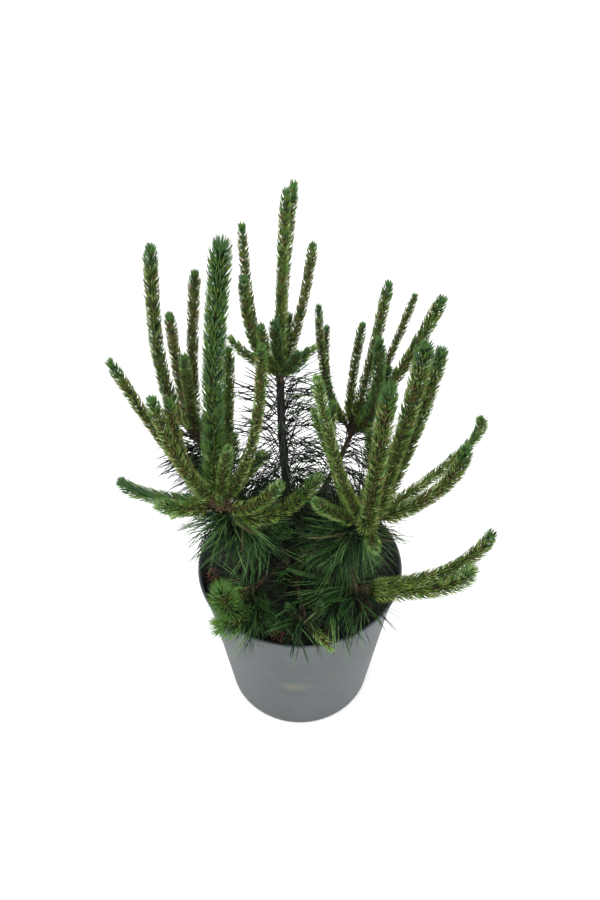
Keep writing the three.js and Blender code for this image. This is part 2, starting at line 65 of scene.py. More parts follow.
def lumps(points, seed):
    # Smooth noise from -1 to 1: random numbers at the corners of unit cubes, mixed by weights
    # 3 s^2 - 2 s^3 of the point's share s of the way across its cube.
    cell = np.floor(points)
    share = points - cell
    weight = share * share * (3 - 2 * share)
    total = np.zeros(points.shape[:-1])
    for corner in itertools.product((0, 1), repeat=3):
        wave = np.sin((cell + corner) @ np.array([127.1, 311.7, 74.7]) + seed * 19.19) * 43758.5453
        near = np.prod(np.where(np.array(corner) > 0, weight, 1 - weight), axis=-1)
        total += (wave - np.floor(wave)) * near
    return total * 2 - 1


def curveAt(points, shares):
    # A Bezier curve: neighbouring control points are mixed by the share until one place is left,
    # and the last two before it give the direction.
    row = [np.repeat(np.array([point], float), len(shares), 0) for point in points]
    while len(row) > 2:
        row = [a + (b - a) * shares[:, None] for a, b in zip(row, row[1:])]
    return row[0] + (row[1] - row[0]) * shares[:, None], unit(row[1] - row[0])


def limbAlong(points):
    # A limb: its control points, the direction across the plane that it bends in, its length, and the
    # share of it that lies behind each of 201 even steps of the curve's own share.
    places, _ = curveAt(points, np.linspace(0, 1, 201))
    chord = places[-1] - places[0]
    across = np.cross(chord, places[100] - places[0])
    if np.linalg.norm(across) < 1:
        across = np.array([-chord[1], chord[0], 0.0])
    if np.linalg.norm(across) < 1:
        across = np.array([0.0, 1.0, 0.0])
    runs = np.concatenate([[0], np.cumsum(np.linalg.norm(np.diff(places, axis=0), axis=1))])
    return {"points": points, "across": unit(across), "length": runs[-1], "runs": runs / runs[-1]}


def evenShares(limb, lengths):
    # The curve's own shares at shares of its length, read from its table of running lengths.
    return np.interp(lengths, limb["runs"], np.linspace(0, 1, len(limb["runs"])))


def stationOn(limb, shares):
    # Places on the limb, its direction there, and two directions square to it.
    place, along = curveAt(limb["points"], shares)
    side = unit(limb["across"] - along * (along @ limb["across"])[:, None])
    return place, along, side, np.cross(along, side)


def stationsRound(limb, shares, angles):
    # Places on the limb, its direction there, and the direction square to it at an angle round it.
    place, along, side, up = stationOn(limb, shares)
    return place, along, side * np.cos(angles)[:, None] + up * np.sin(angles)[:, None]


def evenTurns(count):
    # Angles that share a full turn evenly.
    return np.linspace(0, 2 * np.pi, count, endpoint=False)


def circles(side, up, angles):
    # For each pair of directions, the unit circle that they span, at the angles.
    return side[:, None] * np.cos(angles)[:, None] + up[:, None] * np.sin(angles)[:, None]


def ringFaces(rings, sides):
    # Triangles between neighbouring rings of corners, and a fan at each end round one of the two
    # corners that come after the rings.
    first = np.arange(sides)
    after = (first + 1) % sides
    low = np.arange(rings - 1)[:, None] * sides
    a, b, c, d = low + first, low + after, low + sides + after, low + sides + first
    walls = np.concatenate([np.stack([a, b, c], -1), np.stack([a, c, d], -1)]).reshape(-1, 3)
    last = (rings - 1) * sides
    foot = np.stack([after, first, np.full(sides, rings * sides)], -1)
    head = np.stack([last + first, last + after, np.full(sides, rings * sides + 1)], -1)
    return np.concatenate([walls, foot, head])


def tube(limb, shares, sides, radii):
    # A circle carried along the limb. Its radius is read from a grid of ring by angle, and each
    # end is closed by a fan round the axis.
    place, _, side, up = stationOn(limb, shares)
    wall = place[:, None] + circles(side, up, evenTurns(sides)) * radii[..., None]
    corners = np.vstack([wall.reshape(-1, 3), place[:1], place[-1:]])
    return corners, ringFaces(len(shares), sides)


# Bark relief: broad swellings, plates and cracks. A row is how fine it is round the limb, its size
# along it in millimetres, where in the noise it lies, and its weight.
barkPatterns = [(1.2, 9, 7, 0.45), (3.4, 4.5, 7, 0.5), (2.6, 6, 0, 0.6)]


def barkRadii(limb, shares, sides, radius, relief, seed):
    # The limb's radius times one plus its relief: swellings and plates of smooth noise on an unrolled
    # tube, less cracks, the sixth power of one minus the noise's size.
    angles = evenTurns(sides)
    runs = shares[:, None] * limb["length"] + 0 * angles
    around = np.stack([np.cos(angles) + 0 * runs, np.sin(angles) + 0 * runs], -1)
    swellings, plates, cracks = (
        lumps(np.concatenate([around * fine, runs[..., None] / size], -1) + shift, seed + number)
        for number, (fine, size, shift, _) in enumerate(barkPatterns)
    )
    broad, raised, cut = (row[3] for row in barkPatterns)
    return radius * (1 + relief * (broad * swellings + raised * plates - cut * (1 - np.abs(cracks)) ** 6))


def barkTube(limb, shares, sides, radius, relief, seed):
    # A tube with bark relief whose radius is given at the shares.
    return tube(limb, shares, sides, barkRadii(limb, shares, sides, radius[:, None], relief, seed))


def repeated(faces, cornersEach, count):
    # The same triangles for each of many equal sets of corners.
    return (np.array(faces) + (np.arange(count) * cornersEach)[:, None, None]).reshape(-1, 3)


ridgeShares = (0.3, 0.7)  # how much of a blade's thickness lies below and above its middle line


def blades(root, start, end, face, length, width, thickness, rings):
    # Slim three-sided blades. The middle line leaves its root along start and turns evenly to end:
    # root + length (s start + s^2/2 (end - start)). rings gives (s, share of the full width), and
    # the tip is a point. face is the side that the ridge looks to. A size is one for all or one each.
    count, ringCount = len(root), len(rings)
    length, width, thickness = (np.broadcast_to(size, count) for size in (length, width, thickness))
    s = np.array([ring[0] for ring in rings] + [1.0])
    wide = np.array([ring[1] for ring in rings])
    turn = end - start
    steps = s[None, :, None] * start[:, None] + (s**2 / 2)[None, :, None] * turn[:, None]
    middle = root[:, None] + length[:, None, None] * steps
    along = unit(start[:, None] + s[None, :, None] * turn[:, None])[:, :ringCount]
    across = unit(np.cross(along, np.broadcast_to(face[:, None], along.shape)))
    ridge = np.cross(across, along)
    half = (width[:, None] * wide / 2)[..., None]
    high = (thickness[:, None] * wide)[..., None]
    base = middle[:, :ringCount]
    below = ridge * high * ridgeShares[0]
    above = ridge * high * ridgeShares[1]
    section = np.stack([base + across * half - below, base + above, base - across * half - below], 2)
    corners = np.concatenate([section.reshape(count, ringCount * 3, 3), middle[:, -1:]], 1)
    faces = [(0, 1, 2)]
    for ring in range(ringCount - 1):
        for side in range(3):
            a, b = ring * 3 + side, ring * 3 + (side + 1) % 3
            faces += [(a, b + 3, b), (a, a + 3, b + 3)]
    last = (ringCount - 1) * 3
    faces += [(last + side, last + 3, last + (side + 1) % 3) for side in range(3)]
    return corners.reshape(-1, 3), repeated(faces, ringCount * 3 + 1, count), len(faces)


pot = {
    "footRadius": 99,
    "heelRadius": 105,
    "heelHeight": 6,
    "collarRadius": 129.5,
    "collarHeight": 190,
    "rimRadius": 140,
    "rimHeight": 247,
    "lipProud": 1.2,
    "lipHeight": 4,
    "wall": 2.4,
    "floor": 3,
    "around": 160,  # faces round the wall
}
compost = {
    "level": 229,
    "lump": 3.2,
    "lumpLength": 17,
    "crossLump": 0.6,
    "seatRadius": 40,
    "grain": 2.2,  # height of the loose crumbs
    "chips": 900,
    "chipSize": (1.6, 4.6, 2.5),  # least half length, what chance adds, and how rare the large ones are
    "chipWidth": 0.6,
}
feedCones = {
    "places": [(-28, -108), (39, -112), (87, -66), (-119, -17)],
    "radius": 11,
    "height": 24,
    "sunk": 6,
    "granules": 46,
    "granule": 4.2,  # half its length
    "granuleWidth": 0.36,  # as a share of its length
    "clear": [19, 4, 9, 5],  # how far needles keep from each
    "clearHeight": 58,
    "clearLean": 1.1,  # how far forward that space goes for each millimetre up
}


def potRadiusAt(height):
    # The pot's outer radius: one cone up to the collar's foot and a steeper one above it.
    return np.interp(
        height,
        [pot["heelHeight"], pot["collarHeight"], pot["rimHeight"]],
        [pot["heelRadius"], pot["collarRadius"], pot["rimRadius"]],
    )


def clearOfPot(points, margin):
    # True where a point keeps clear of the pot's wall and of the compost in it.
    radius = np.hypot(points[..., 0], points[..., 1])
    height = points[..., 2]
    wall = potRadiusAt(height)
    inside = radius < wall - pot["wall"] - margin
    outside = radius > wall + pot["lipProud"] + margin
    overCompost = height > compost["level"] + compost["lump"] + margin
    return (height > pot["rimHeight"] + margin) | (inside & overCompost) | outside


def clearOfCones(points):
    # True where a point is outside the space kept clear over each feed cone, a column that leans
    # forward as it rises.
    clear = np.ones(points.shape[:-1], bool)
    height = points[..., 2] - compost["level"]
    forward = points[..., 1] + feedCones["clearLean"] * height
    for (x, y), reach in zip(feedCones["places"], feedCones["clear"]):
        near = np.hypot(points[..., 0] - x, forward - y) < reach
        clear &= ~(near & (height < feedCones["clearHeight"]))
    return clear


def clearBlades(root, start, end, length):
    # True for a blade whose middle line keeps clear of the pot, the compost and the feed cones.
    s = np.linspace(0.15, 1, 8)
    steps = s[None, :, None] * start[:, None] + (s**2 / 2)[None, :, None] * (end - start)[:, None]
    points = root[:, None] + length[:, None, None] * steps
    return (clearOfPot(points, 1) & clearOfCones(points)).all(1)


def shaded(part, number=0):
    # A part in one material: its corners, its triangles and a material number for each triangle.
    return part[0], part[1], np.full(len(part[1]), number)


def joined(parts):
    # The parts as one, each part's corner numbers moved past those before it.
    starts = np.cumsum([0] + [len(part[0]) for part in parts[:-1]])
    corners = np.concatenate([part[0] for part in parts])
    faces = np.concatenate([part[1] + start for part, start in zip(parts, starts)])
    return corners, faces, np.concatenate([part[2] for part in parts])


triangles = {}


def pieceFrom(name, parts, materials, nodes, smooth=True):
    # One mesh object from joined parts, riding on the plant's one body in place of CAD nodes.
    corners, faces, materialIndex = joined(parts)
    mesh = bpy.data.meshes.new(name)
    mesh.vertices.add(len(corners))
    mesh.vertices.foreach_set("co", (corners * millimetre).astype(np.float32).ravel())
    mesh.loops.add(faces.size)
    mesh.loops.foreach_set("vertex_index", faces.astype(np.int32).ravel())
    mesh.polygons.add(len(faces))
    mesh.polygons.foreach_set("loop_start", np.arange(0, faces.size, 3, dtype=np.int32))
    mesh.polygons.foreach_set("material_index", materialIndex.astype(np.int32))
    mesh.polygons.foreach_set("use_smooth", np.full(len(faces), smooth))
    mesh.update(calc_edges=True)
    for material in materials:
        mesh.materials.append(material)
    piece = bpy.data.objects.new(name, mesh)
    bpy.context.scene.collection.objects.link(piece)
    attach(piece, "root")
    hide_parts(*nodes)
    triangles[name] = len(faces)
    return piece


def linear(code):
    # An sRGB hex colour as linear red, green, blue and alpha.
    parts = [int(code[at : at + 2], 16) / 255 for at in (1, 3, 5)]
    return tuple(c / 12.92 if c <= 0.04045 else ((c + 0.055) / 1.055) ** 2.4 for c in parts) + (1.0,)


def addNode(tree, kind, inputs, **settings):
    # One node with its settings. An input that is another node's output is linked to it.
    node = tree.nodes.new("ShaderNode" + kind)
    for name, value in settings.items():
        setattr(node, name, value)
    for name, value in inputs.items():
        if isinstance(value, bpy.types.NodeSocket):
            tree.links.new(value, node.inputs[name])
        else:
            node.inputs[name].default_value = value
    return node


def newMaterial(name):
    # An empty material, its tree, its shader and its Object coordinates.
    material = bpy.data.materials.new(name)
    material.use_nodes = True
    tree = material.node_tree
    tree.nodes.clear()
    shader = addNode(tree, "BsdfPrincipled", {})
    addNode(tree, "OutputMaterial", {"Surface": shader.outputs[0]})
    return material, tree, shader, addNode(tree, "TexCoord", {}).outputs["Object"]


def perMillimetres(size):
    # The scale of a noise pattern whose lumps are this many millimetres across, in metres.
    return 1 / (size * millimetre)


def ramp(tree, factor, stops):
    # A colour ramp through (position, hex colour) stops.
    node = addNode(tree, "ValToRGB", {"Fac": factor})
    elements = node.color_ramp.elements
    while len(elements) < len(stops):
        elements.new(0.5)
    for element, (position, code) in zip(elements, stops):
        element.position = position
        element.color = linear(code)
    return node.outputs["Color"]


def noise(tree, coordinates, size, detail=3.0):
    # A noise pattern with lumps of a size in millimetres.
    inputs = {"Vector": coordinates, "Scale": perMillimetres(size), "Detail": detail}
    return addNode(tree, "TexNoise", inputs).outputs["Fac"]


def bump(tree, height, depth, strength=1.0):
    # A bump of a depth in millimetres.
    inputs = {"Height": height, "Distance": depth * millimetre, "Strength": strength}
    return addNode(tree, "Bump", inputs).outputs["Normal"]


def mapped(tree, value, low, high):
    # A number from 0 to 1 moved to the range from low to high.
    return addNode(tree, "MapRange", {"Value": value, "To Min": low, "To Max": high}).outputs["Result"]


def needleMaterial(name, code, roughness):
    # A needle's waxy cuticle: leathery, with a soft shine that its wax dulls in patches of a few
    # millimetres. The colour is plain, because it is dealt out needle by needle.
    material, tree, shader, place = newMaterial(name)
    shader.inputs["Base Color"].default_value = linear(code)
    shader.inputs["IOR"].default_value = 1.45
    shader.inputs["Specular IOR Level"].default_value = 0.22
    wax = noise(tree, place, 4)
    tree.links.new(mapped(tree, wax, roughness - 0.1, roughness + 0.12), shader.inputs["Roughness"])
    return material


def dryMaterial(name, size, detail, stops, roughness, depth=0):
    # A dry surface whose colour runs through its stops by one pattern. size is the pattern's in
    # millimetres, roughness a value or the two that the pattern runs between, depth a bump's.
    material, tree, shader, place = newMaterial(name)
    pattern = noise(tree, place, size, detail)
    tree.links.new(ramp(tree, pattern, stops), shader.inputs["Base Color"])
    if isinstance(roughness, tuple):
        tree.links.new(mapped(tree, pattern, *roughness), shader.inputs["Roughness"])
    else:
        shader.inputs["Roughness"].default_value = roughness
    if depth:
        tree.links.new(bump(tree, pattern, depth), shader.inputs["Normal"])
    return material


# Needle colours: hex colour, roughness, and for new needles the darker colour painted as shade on their
# deeper half.
needleColours = {
    "tuft": ("#4d7343", 0.5, "blue"),
    "fresh": ("#568136", 0.5, "mid"),
    "light": ("#97af6c", 0.5, "olive"),
    "mid": ("#637f38", 0.5, "deep"),
    "deep": ("#3f5926", 0.5, "dark"),
    "dark": ("#203618", 0.5, "dark"),
    "blue": ("#426440", 0.5, "dark"),
    "olive": ("#737d38", 0.55, "deep"),
    "yellow": ("#839a45", 0.55, "olive"),
    "tan": ("#7f6b45", 0.6, "deep"),
}
oldNeedleColours = {
    # oldShade, a near-black green, is painted shade for old needles deep in the crown and at its back.
    "oldShade": ("#0d1710", 0.5),
    "oldDark": ("#182d15", 0.45),
    "oldDeep": ("#28471f", 0.45),
    "oldGreen": ("#3a612d", 0.45),
    "oldLight": ("#658b4e", 0.45),
    "dry": ("#84704a", 0.7),
}
# For each colour, the darker one that is painted as shade on a needle's deeper half.
paintedShadeOf = np.array([list(needleColours).index(made[2]) for made in needleColours.values()])
# How a shoot's needles look: what they lean out more in degrees, the shares of its length where its
# root's colours end and its tip's begin, and the colours that root, body and tip are dealt.
lookRows = {
    "plain": (0, 0.22, 0.94, "olive mid deep olive light",
              "mid deep olive mid deep light fresh tan", "tuft fresh deep blue"),
    "dark": (0, 0.25, 0.96, "mid fresh deep fresh light",
             "blue mid blue deep mid fresh tuft", "blue tuft deep"),
    "bright": (3, 0.3, 0.75, "olive yellow mid deep",
               "fresh mid olive deep light", "fresh tuft light mid"),
    "olive": (0, 0.4, 0.94, "olive mid deep mid light",
              "olive mid deep mid light tan", "tuft fresh deep"),
    "yellow": (8, 0.5, 0.85, "yellow olive mid deep light",
               "yellow fresh olive mid dark", "fresh tuft light"),
    "brown": (0, 0.3, 0.95, "olive mid deep light", "olive tan olive deep mid tan", "tuft fresh deep"),
    "grass": (0, 0.3, 0.8, "olive mid deep fresh", "fresh tuft fresh mid deep", "fresh tuft fresh mid"),
    # The dull look is painted shade: darker colours for shoots that lie under other needles.
    "dull": (0, 0.3, 0.9, "deep dark", "dark deep", "deep dark blue"),
}
lookTerms = "flare rootTo tipFrom root body tip".split()
looks = {name: dict(zip(lookTerms, row)) for name, row in lookRows.items()}


def needleMaterialsOf(colours):
    # One material for each colour.
    return [needleMaterial(f"needleCuticle_{name}", *made[:2]) for name, made in colours.items()]


needleMaterials = needleMaterialsOf(needleColours)
oldNeedleMaterials = needleMaterialsOf(oldNeedleColours)
# Young pine bark: matt corky scales of 2 to 3.5 mm over darker cracks, smoother where it is pale.
matt = (0.95, 0.75)
trunkStops = [(0.3, "#050803"), (0.5, "#13180b"), (0.72, "#2b321f")]
boughStops = [(0.3, "#1c150d"), (0.5, "#3c2f1f"), (0.72, "#6e5a42")]
shootStops = [(0.3, "#26210f"), (0.5, "#40381b"), (0.7, "#5f542c")]
trunkBark = dryMaterial("corkyBarkTrunk", 3.5, 5.0, trunkStops, matt, 0.8)
boughBark = dryMaterial("corkyBarkBough", 3.0, 5.0, boughStops, matt, 0.6)
shootBark = dryMaterial("youngShootBark", 2.0, 5.0, shootStops, matt, 0.3)
# Papery sheaths and bud scales: thin, dry and matt, paler where they fray.
sheathPaper = dryMaterial("needleSheathPaper", 1.5, 3.0, [(0.35, "#433a1c"), (0.7, "#6b5f33")], 0.8)
budScalePaper = dryMaterial("budScalePaper", 1.5, 3.0, [(0.35, "#4f3b26"), (0.7, "#a08563")], 0.8)
# Darker bud scales for hubs that sit in shade among their shoots or at the back: painted shade.
paintedShadeScalePaper = dryMaterial("budScalePaperPaintedShade", 1.5, 3.0, [(0.35, "#1d190e"), (0.7, "#413925")], 0.8)
twigMaterials = [shootBark, sheathPaper, budScalePaper, boughBark, paintedShadeScalePaper]
print("materials", len(bpy.data.materials))


trunk = {
    "axis": [(-9, 0, 229.3), (-9, 0, 300), (-24, 12, 430), (-23, 20, 548)],
    "footRadius": 8.6,
    "tipRadius": 4.6,
    "flare": 0.55,
    "flareHeight": 13,
    "flareRidges": 5,
    "ridgeDepth": 0.3,
    "ringStep": 1.6,
    "sides": 36,
    "relief": 0.16,
}
bough = {
    "rootRadius": 4.6,
    "endRadius": 3.4,
    "bareShare": 0.38,
    "level": 0.62,
    "lift": 0.34,
    "ringStep": 2.2,
    "sides": 18,
    "relief": 0.2,
    "overlap": 0.02,  # how far the bark runs on into the stem, as a share of its length
    "stemRingStep": 3.3,
    "stemSides": 12,
}
trunkLimb = limbAlong(trunk["axis"])


def trunkRadiusAt(shares, angles):
    # The taper by the square root of the share, times the root flare, which fades with height and
    # swells in ridges by the cosine of the angle.
    straight = trunk["footRadius"] + (trunk["tipRadius"] - trunk["footRadius"]) * np.sqrt(shares)
    height = stationOn(trunkLimb, shares)[0][:, 2] - compost["level"]
    ridge = 1 - trunk["ridgeDepth"] * (1 - np.cos(trunk["flareRidges"] * angles))
    fade = np.exp(-height / trunk["flareHeight"])
    return straight[:, None] * (1 + trunk["flare"] * ridge * fade[:, None])


def trunkShareAt(height):
    # The share of the trunk's axis at a height.
    shares = np.linspace(0, 1, 801)
    return float(np.interp(height, stationOn(trunkLimb, shares)[0][:, 2], shares))


# The old needles on most stems: their kind, and the stretch of the stem that they stand on.
usualGrowth = {"stem": (0.38, 0.985), "bough": (0.12, 0.38)}

# Whorls and their shoots. A shoot is turn, reach, rise, width, bend, drift, droop and look: its
# compass direction, its level distance and height from whorl to tip, its width with its needles,
# how far it runs out before it turns up (below 0, the other way round), its sideways bow, its downward
# one (below 0, upward), and its colours. A spur is the place of a fine twig's end and the length of
# its needles.
whorls = {
    "leader": {
        "place": (-23, 20, 559),
        "boughHeight": None,
        "oldGrowth": {"stem": (0, 0.985)},
        "shortShoots": 2,
        "shoots": [
            (47, 25, 226, 12, 0.4, 16, 8, "olive"),
            (-57, 18, 234, 11, 0.5, -9, 3, "plain"),
            (198, 37, 196, 10, 1.1, 16, 20, "brown"),
            (-140, 46, 148, 11, 1, 0, 0, "plain"),
            (162, 62, 40, 11, 0.6, 0, 0, "bright"),
            (-112, 48, 98, 11, 0.6, 0, 0, "plain"),
            (28, 42, 158, 11, 0.45, 0, 0, "brown"),
            (-102, 22, 88, 13, 0.4, 0, 0, "dark"),
            (70, 32, 64, 11, 0.4, 0, 0, "dark"),
            (-44, 44, 56, 11, 0.4, 0, 0, "dark"),
            (42, 58, 12, 11, 0.2, 0, 0, "bright"),
            (-64, 50, 62, 12, 0.2, 0, 0, "dark"),
        ],
    },
    "left": {
        "place": (-100, -22, 386),
        "boughHeight": 268,
        "oldGrowth": {
            "stem": (0.38, 0.95),
            "bough": (0.12, 0.38),
            "sweepLeft": (0.6, 0.94),
            "sweepRight": (0.8, 0.96),
            "loose": (0.3, 0.9),
        },
        "shortShoots": 3,
        "shoots": [
            (-16, 26, 373, 23, -1.6, -7, 205, "dark"),
            (184, 106, 229, 13, 0, 13, 28, "olive"),
            (-145, 72, 206, 15, 0.5, 6, 4, "olive"),
            (-145, 52, 192, 14, 0.9, -4, -4, "brown"),
            (-32, 72, 270, 12, 0.7, 10, -7, "olive"),
            (-63, 43, 130, 13, 0, -3, 1, "bright"),
            (2, 58, 87, 14, 0.2, 4, -7, "bright"),
            (-28, 89, 79, 14, 0.3, -14, 21, "yellow"),
            (-2, 127, 57, 16, -0.1, -26, 74, "yellow"),
            (162, 141, 3, 18, 0.9, 2, 34, "dark"),
            (-151, 86, 43, 18, -0.1, 10, 13, "bright"),
            (-161, 68, 0, 16, -0.6, -6, -12, "yellow"),
            (57, 37, 218, 13, 0.5, -1, -3, "plain"),
        ],
    },
    "back_left": {
        "place": (-133, 45, 438),
        "boughHeight": 292,
        "oldGrowth": {"backStem": (0.38, 0.985), "bough": (0.12, 0.38), "sweepOut": (0.6, 0.97)},
        "shortShoots": 2,
        "shoots": [
            (140, 40, 260, 16, 1.3, 26, -7, "plain"),
            (-128, 20, 198, 13, 0.9, 3, 0, "brown"),
            (43, 23, 233, 13, 0.1, 14, 5, "brown"),
            (-86, 36, 156, 13, 0.5, 0, 0, "plain"),
        ],
    },
    "right": {
        "place": (86, -36, 367),
        "boughHeight": 260,
        "oldGrowth": {
            "stem": (0.38, 0.95),
            "bough": (0.12, 0.38),
            "sweepLeft": (0.6, 0.94),
            "sweepAcross": (0.82, 0.96),
            "loose": (0.3, 0.9),
        },
        "shortShoots": 3,
        "shoots": [
            (-155, 56, 214, 11, 1, -16, -12, "olive"),
            (-154, 77, 258, 12, 0.4, 24, 31, "bright"),
            (169, 72, 174, 11, 0.2, 3, 7, "bright"),
            (-88, 78, 280, 18, 1.2, -16, 2, "plain"),
            (-41, 54, 301, 18, 0.3, 5, -3, "plain"),
            (-8, 63, 276, 17, 0.3, -6, 11, "plain"),
            (22, 141, 127, 13, 1.7, 24, -50, "bright"),
            (-15, 105, 152, 17, 0.9, 9, -14, "olive"),
            (-155, 77, 73, 15, 0.4, -3, -4, "bright"),
            (-86, 65, 18, 15, 0.2, -1, -1, "bright"),
        ],
    },
    "back_right": {
        "place": (67, 55, 440),
        "boughHeight": 304,
        "oldGrowth": {"backStem": (0.38, 0.985), "bough": (0.12, 0.38)},
        "shortShoots": 2,
        "shoots": [
            (161, 48, 180, 10, 0.8, 2, 20, "plain"),
            (130, 53, 135, 10, 1.4, 3, -1, "plain"),
            (69, 21, 153, 11, 0.8, 16, 10, "plain"),
            (7, 33, 218, 13, 0.2, 2, -8, "plain"),
            (30, 80, 180, 10, 0.2, 0, 0, "brown"),
            (-62, 46, 172, 14, 1.1, 10, 0, "dark"),
            (2, 96, 200, 15, 0.3, 1, -5, "plain"),
            (-34, 46, 122, 12, 0.3, 0, 0, "dark"),
        ],
    },
    "front_right": {
        "place": (71, -55, 257),
        "boughHeight": 248,
        "oldGrowth": {"lowStem": (0.6, 0.985), "sweepDown": (0.72, 1), "sweepLevel": (0.8, 1)},
        "spurs": [(80, -92, 262, 74), (40, -98, 262, 72)],
        "shortShoots": 1,
        "shoots": [
            (-3, 166, 124, 17, 0.8, -5, 7, "olive"),
            (-11, 148, 80, 20, 0.9, -2, 5, "yellow"),
        ],
    },
    "front_left": {
        "place": (-68, -58, 254),
        "boughHeight": 258,
        "oldGrowth": {"lowStem": (0.7, 0.985)},
        "spurs": [(-46, -106, 260, 68)],
        "flare": 22,
        "shortShoots": 1,
        "shoots": [
            (-124, 55, 76, 26, 1.3, 16, 15, "grass"),
            (-124, 81, 16, 26, -0.7, 56, 21, "grass"),
        ],
    },
    "front_low": {
        "place": (8, -112, 262),
        "boughHeight": 240,
        "oldGrowth": {"few": (0.6, 0.985), "bough": (0.1, 0.8)},
        "spurs": [(-14, -116, 262, 58)],
        "shortShoots": 2,
        # Its short shoots take the dull look, painted shade under the needles above them.
        "shortLook": "dull",
        "shoots": [(-50, 52, -8, 11, 0.3, 0, 0, "bright")],
    },
    "low_back_left": {
        "place": (-100, 88, 320),
        "boughHeight": 279,
        "oldGrowth": {"farStem": (0.38, 0.985), "bough": (0.12, 0.38)},
        "shortShoots": 2,
        "shoots": [
            (96, 30, 134, 16, 0.5, 0, 0, "plain"),
            (124, 74, 58, 17, 0.6, 0, 0, "olive"),
            (84, 58, 40, 16, 0.5, 0, 0, "bright"),
            (168, 60, 36, 15, 0.6, 0, 0, "yellow"),
        ],
    },
    "low_back_right": {
        "place": (102, 98, 298),
        "boughHeight": 270,
        "oldGrowth": {"farStem": (0.38, 0.985), "bough": (0.12, 0.38)},
        "shortShoots": 2,
        "shoots": [
            (60, 26, 150, 16, 0.5, 0, 0, "plain"),
            (50, 72, 42, 17, 0.6, 0, 0, "olive"),
            (92, 52, 80, 16, 0.5, 0, 0, "bright"),
            (18, 40, 20, 16, 0.6, 0, 0, "yellow"),
        ],
    },
}
shortShoot = {"reach": 20, "reachSpread": 8, "rise": 22, "riseSpread": 14, "width": 11}


def stemLimb(whorl):
    # The stem to a whorl: it leaves the trunk nearly level and turns up. The leader's goes
    # straight on from the trunk's tip.
    height = whorl["boughHeight"]
    start = stationOn(trunkLimb, np.array([trunkShareAt(height) if height else 1.0]))[0][0]
    end = np.array(whorl["place"], float)
    level, lift = (bough["level"], bough["lift"]) if height else (0.5, 0.5)
    return limbAlong([start, start + (end - start) * (level, level, lift), end])


def stemRadiusAt(shares):
    # A straight taper.
    return bough["rootRadius"] + (bough["endRadius"] - bough["rootRadius"]) * shares


def shootsOf(whorl, seed):
    # The named shoots and the short ones that the seeded rule adds between them.
    rows = list(whorl["shoots"])
    for index in range(whorl["shortShoots"]):
        turn = goldenAngle * (index + seed) / degree
        reach = shortShoot["reach"] + shortShoot["reachSpread"] * spread(seed, index, 1)
        rise = shortShoot["rise"] + shortShoot["riseSpread"] * spread(seed, index, 2)
        rows.append((turn, reach, rise, shortShoot["width"], 0.5, 0, 0, whorl.get("shortLook", "bright")))
    return rows


def shootLimb(place, row):
    # A shoot's axis: it leaves its whorl outwards and turns up towards its tip.
    turn, reach, rise, _, bend, drift, droop, _ = row
    start = np.array(place, float)
    out = np.array([math.cos(turn * degree), math.sin(turn * degree), 0.0])
    aside = np.array([-out[1], out[0], 0.0])
    up = np.array([0.0, 0.0, 1.0])
    control = start + out * reach * (0.5 + bend / 2) + up * (rise * (0.5 - bend / 4) - droop) + aside * drift
    return limbAlong([start, control, start + out * reach + up * rise])


candle = {
    "axisShare": 0.165,  # axis radius as a share of the shoot's width
    "axisMost": 3.0,
    "spacing": 0.42,  # millimetres of axis for each pair on a shoot of the usual width
    "bareLength": 21,
    "shortBareLength": 14,
    "fullWidth": 12,  # shoots wider than this have the longer bare foot
    "tipBack": 0.8,  # how far the axis ends below the tip, as a share of a needle
    "reach": 0.52,  # how far a needle stands out, as a share of the width
    "rootLean": 44,
    "tipLean": 18,
    "leanSpread": 5,
    "footLean": 9,  # what a needle leans more at the shoot's foot
    "tuft": 12,  # millimetres of the axis' end where the needles close to a brush
    "tuftLean": 40,
    "brush": 1.6,  # pairs at the very tip for each millimetre of the width
    "dome": 0.24,  # what the outermost needles of the tip lose of their length
    "split": 0.12,  # how far the two of a pair part
    "splitSpread": 0.6,
    "runSpread": 0.6,  # how far a pair strays along the axis, in spacings
    "turnSpread": 0.22,  # how far it strays round the axis, in radians
    "footLonger": 0.2,  # what a needle gains in length at the shoot's foot
    "lengthSpread": 0.1,
    "needleWidth": 1.08,
    "needleThickness": 0.8,
    "relief": 0.22,
    "sheathSize": (5.1, 1.9, 1.6),  # length, width and thickness
    "scales": 34,  # bud scales at a shoot's root
    "ringStep": 5,
    "sides": 8,
    "taper": ([0, 0.2, 0.93, 1], [0.9, 1, 0.8, 0.3]),  # shares of the radius at shares of the run
    "usualWidth": 14,
    "close": 1.5,  # how late the tip closes
    "foot": 0.4,  # the share of the axis that is its foot
    "rootIn": 0.8,  # where needles start, as a share of the axis radius
    "tipRootIn": 0.5,  # how much further in they start at the tip
    "brushFill": 0.6,  # below 1, more of the brush's needles lean far out
    "brushCurl": 0.6,  # what is left of their lean at their tips
    "tipSplit": 1.4,  # how much wider the two of a pair part at their tips
    "ownSpread": 0.06,  # what the two of a pair differ in length
    "sheathIn": 0.6,
    "sheathCurl": 8,
    "shadeSpread": 0.05,  # how far a look's borders stray
    "outerFaces": 3,  # a needle's last faces, which have the outer shade; the rest have a darker painted shade
}
budScale = {
    "run": 8,  # how far the scales go on past the bare foot
    "lean": 34,
    "leanSpread": 22,
    "curl": 35,
    "length": 4,
    "lengthSpread": 3.5,
    "width": 2.4,
    "thickness": 0.7,
}
scaleRings = [(0, 1), (0.55, 0.9)]
candleRings = [(0, 0.8), (0.5, 1)]


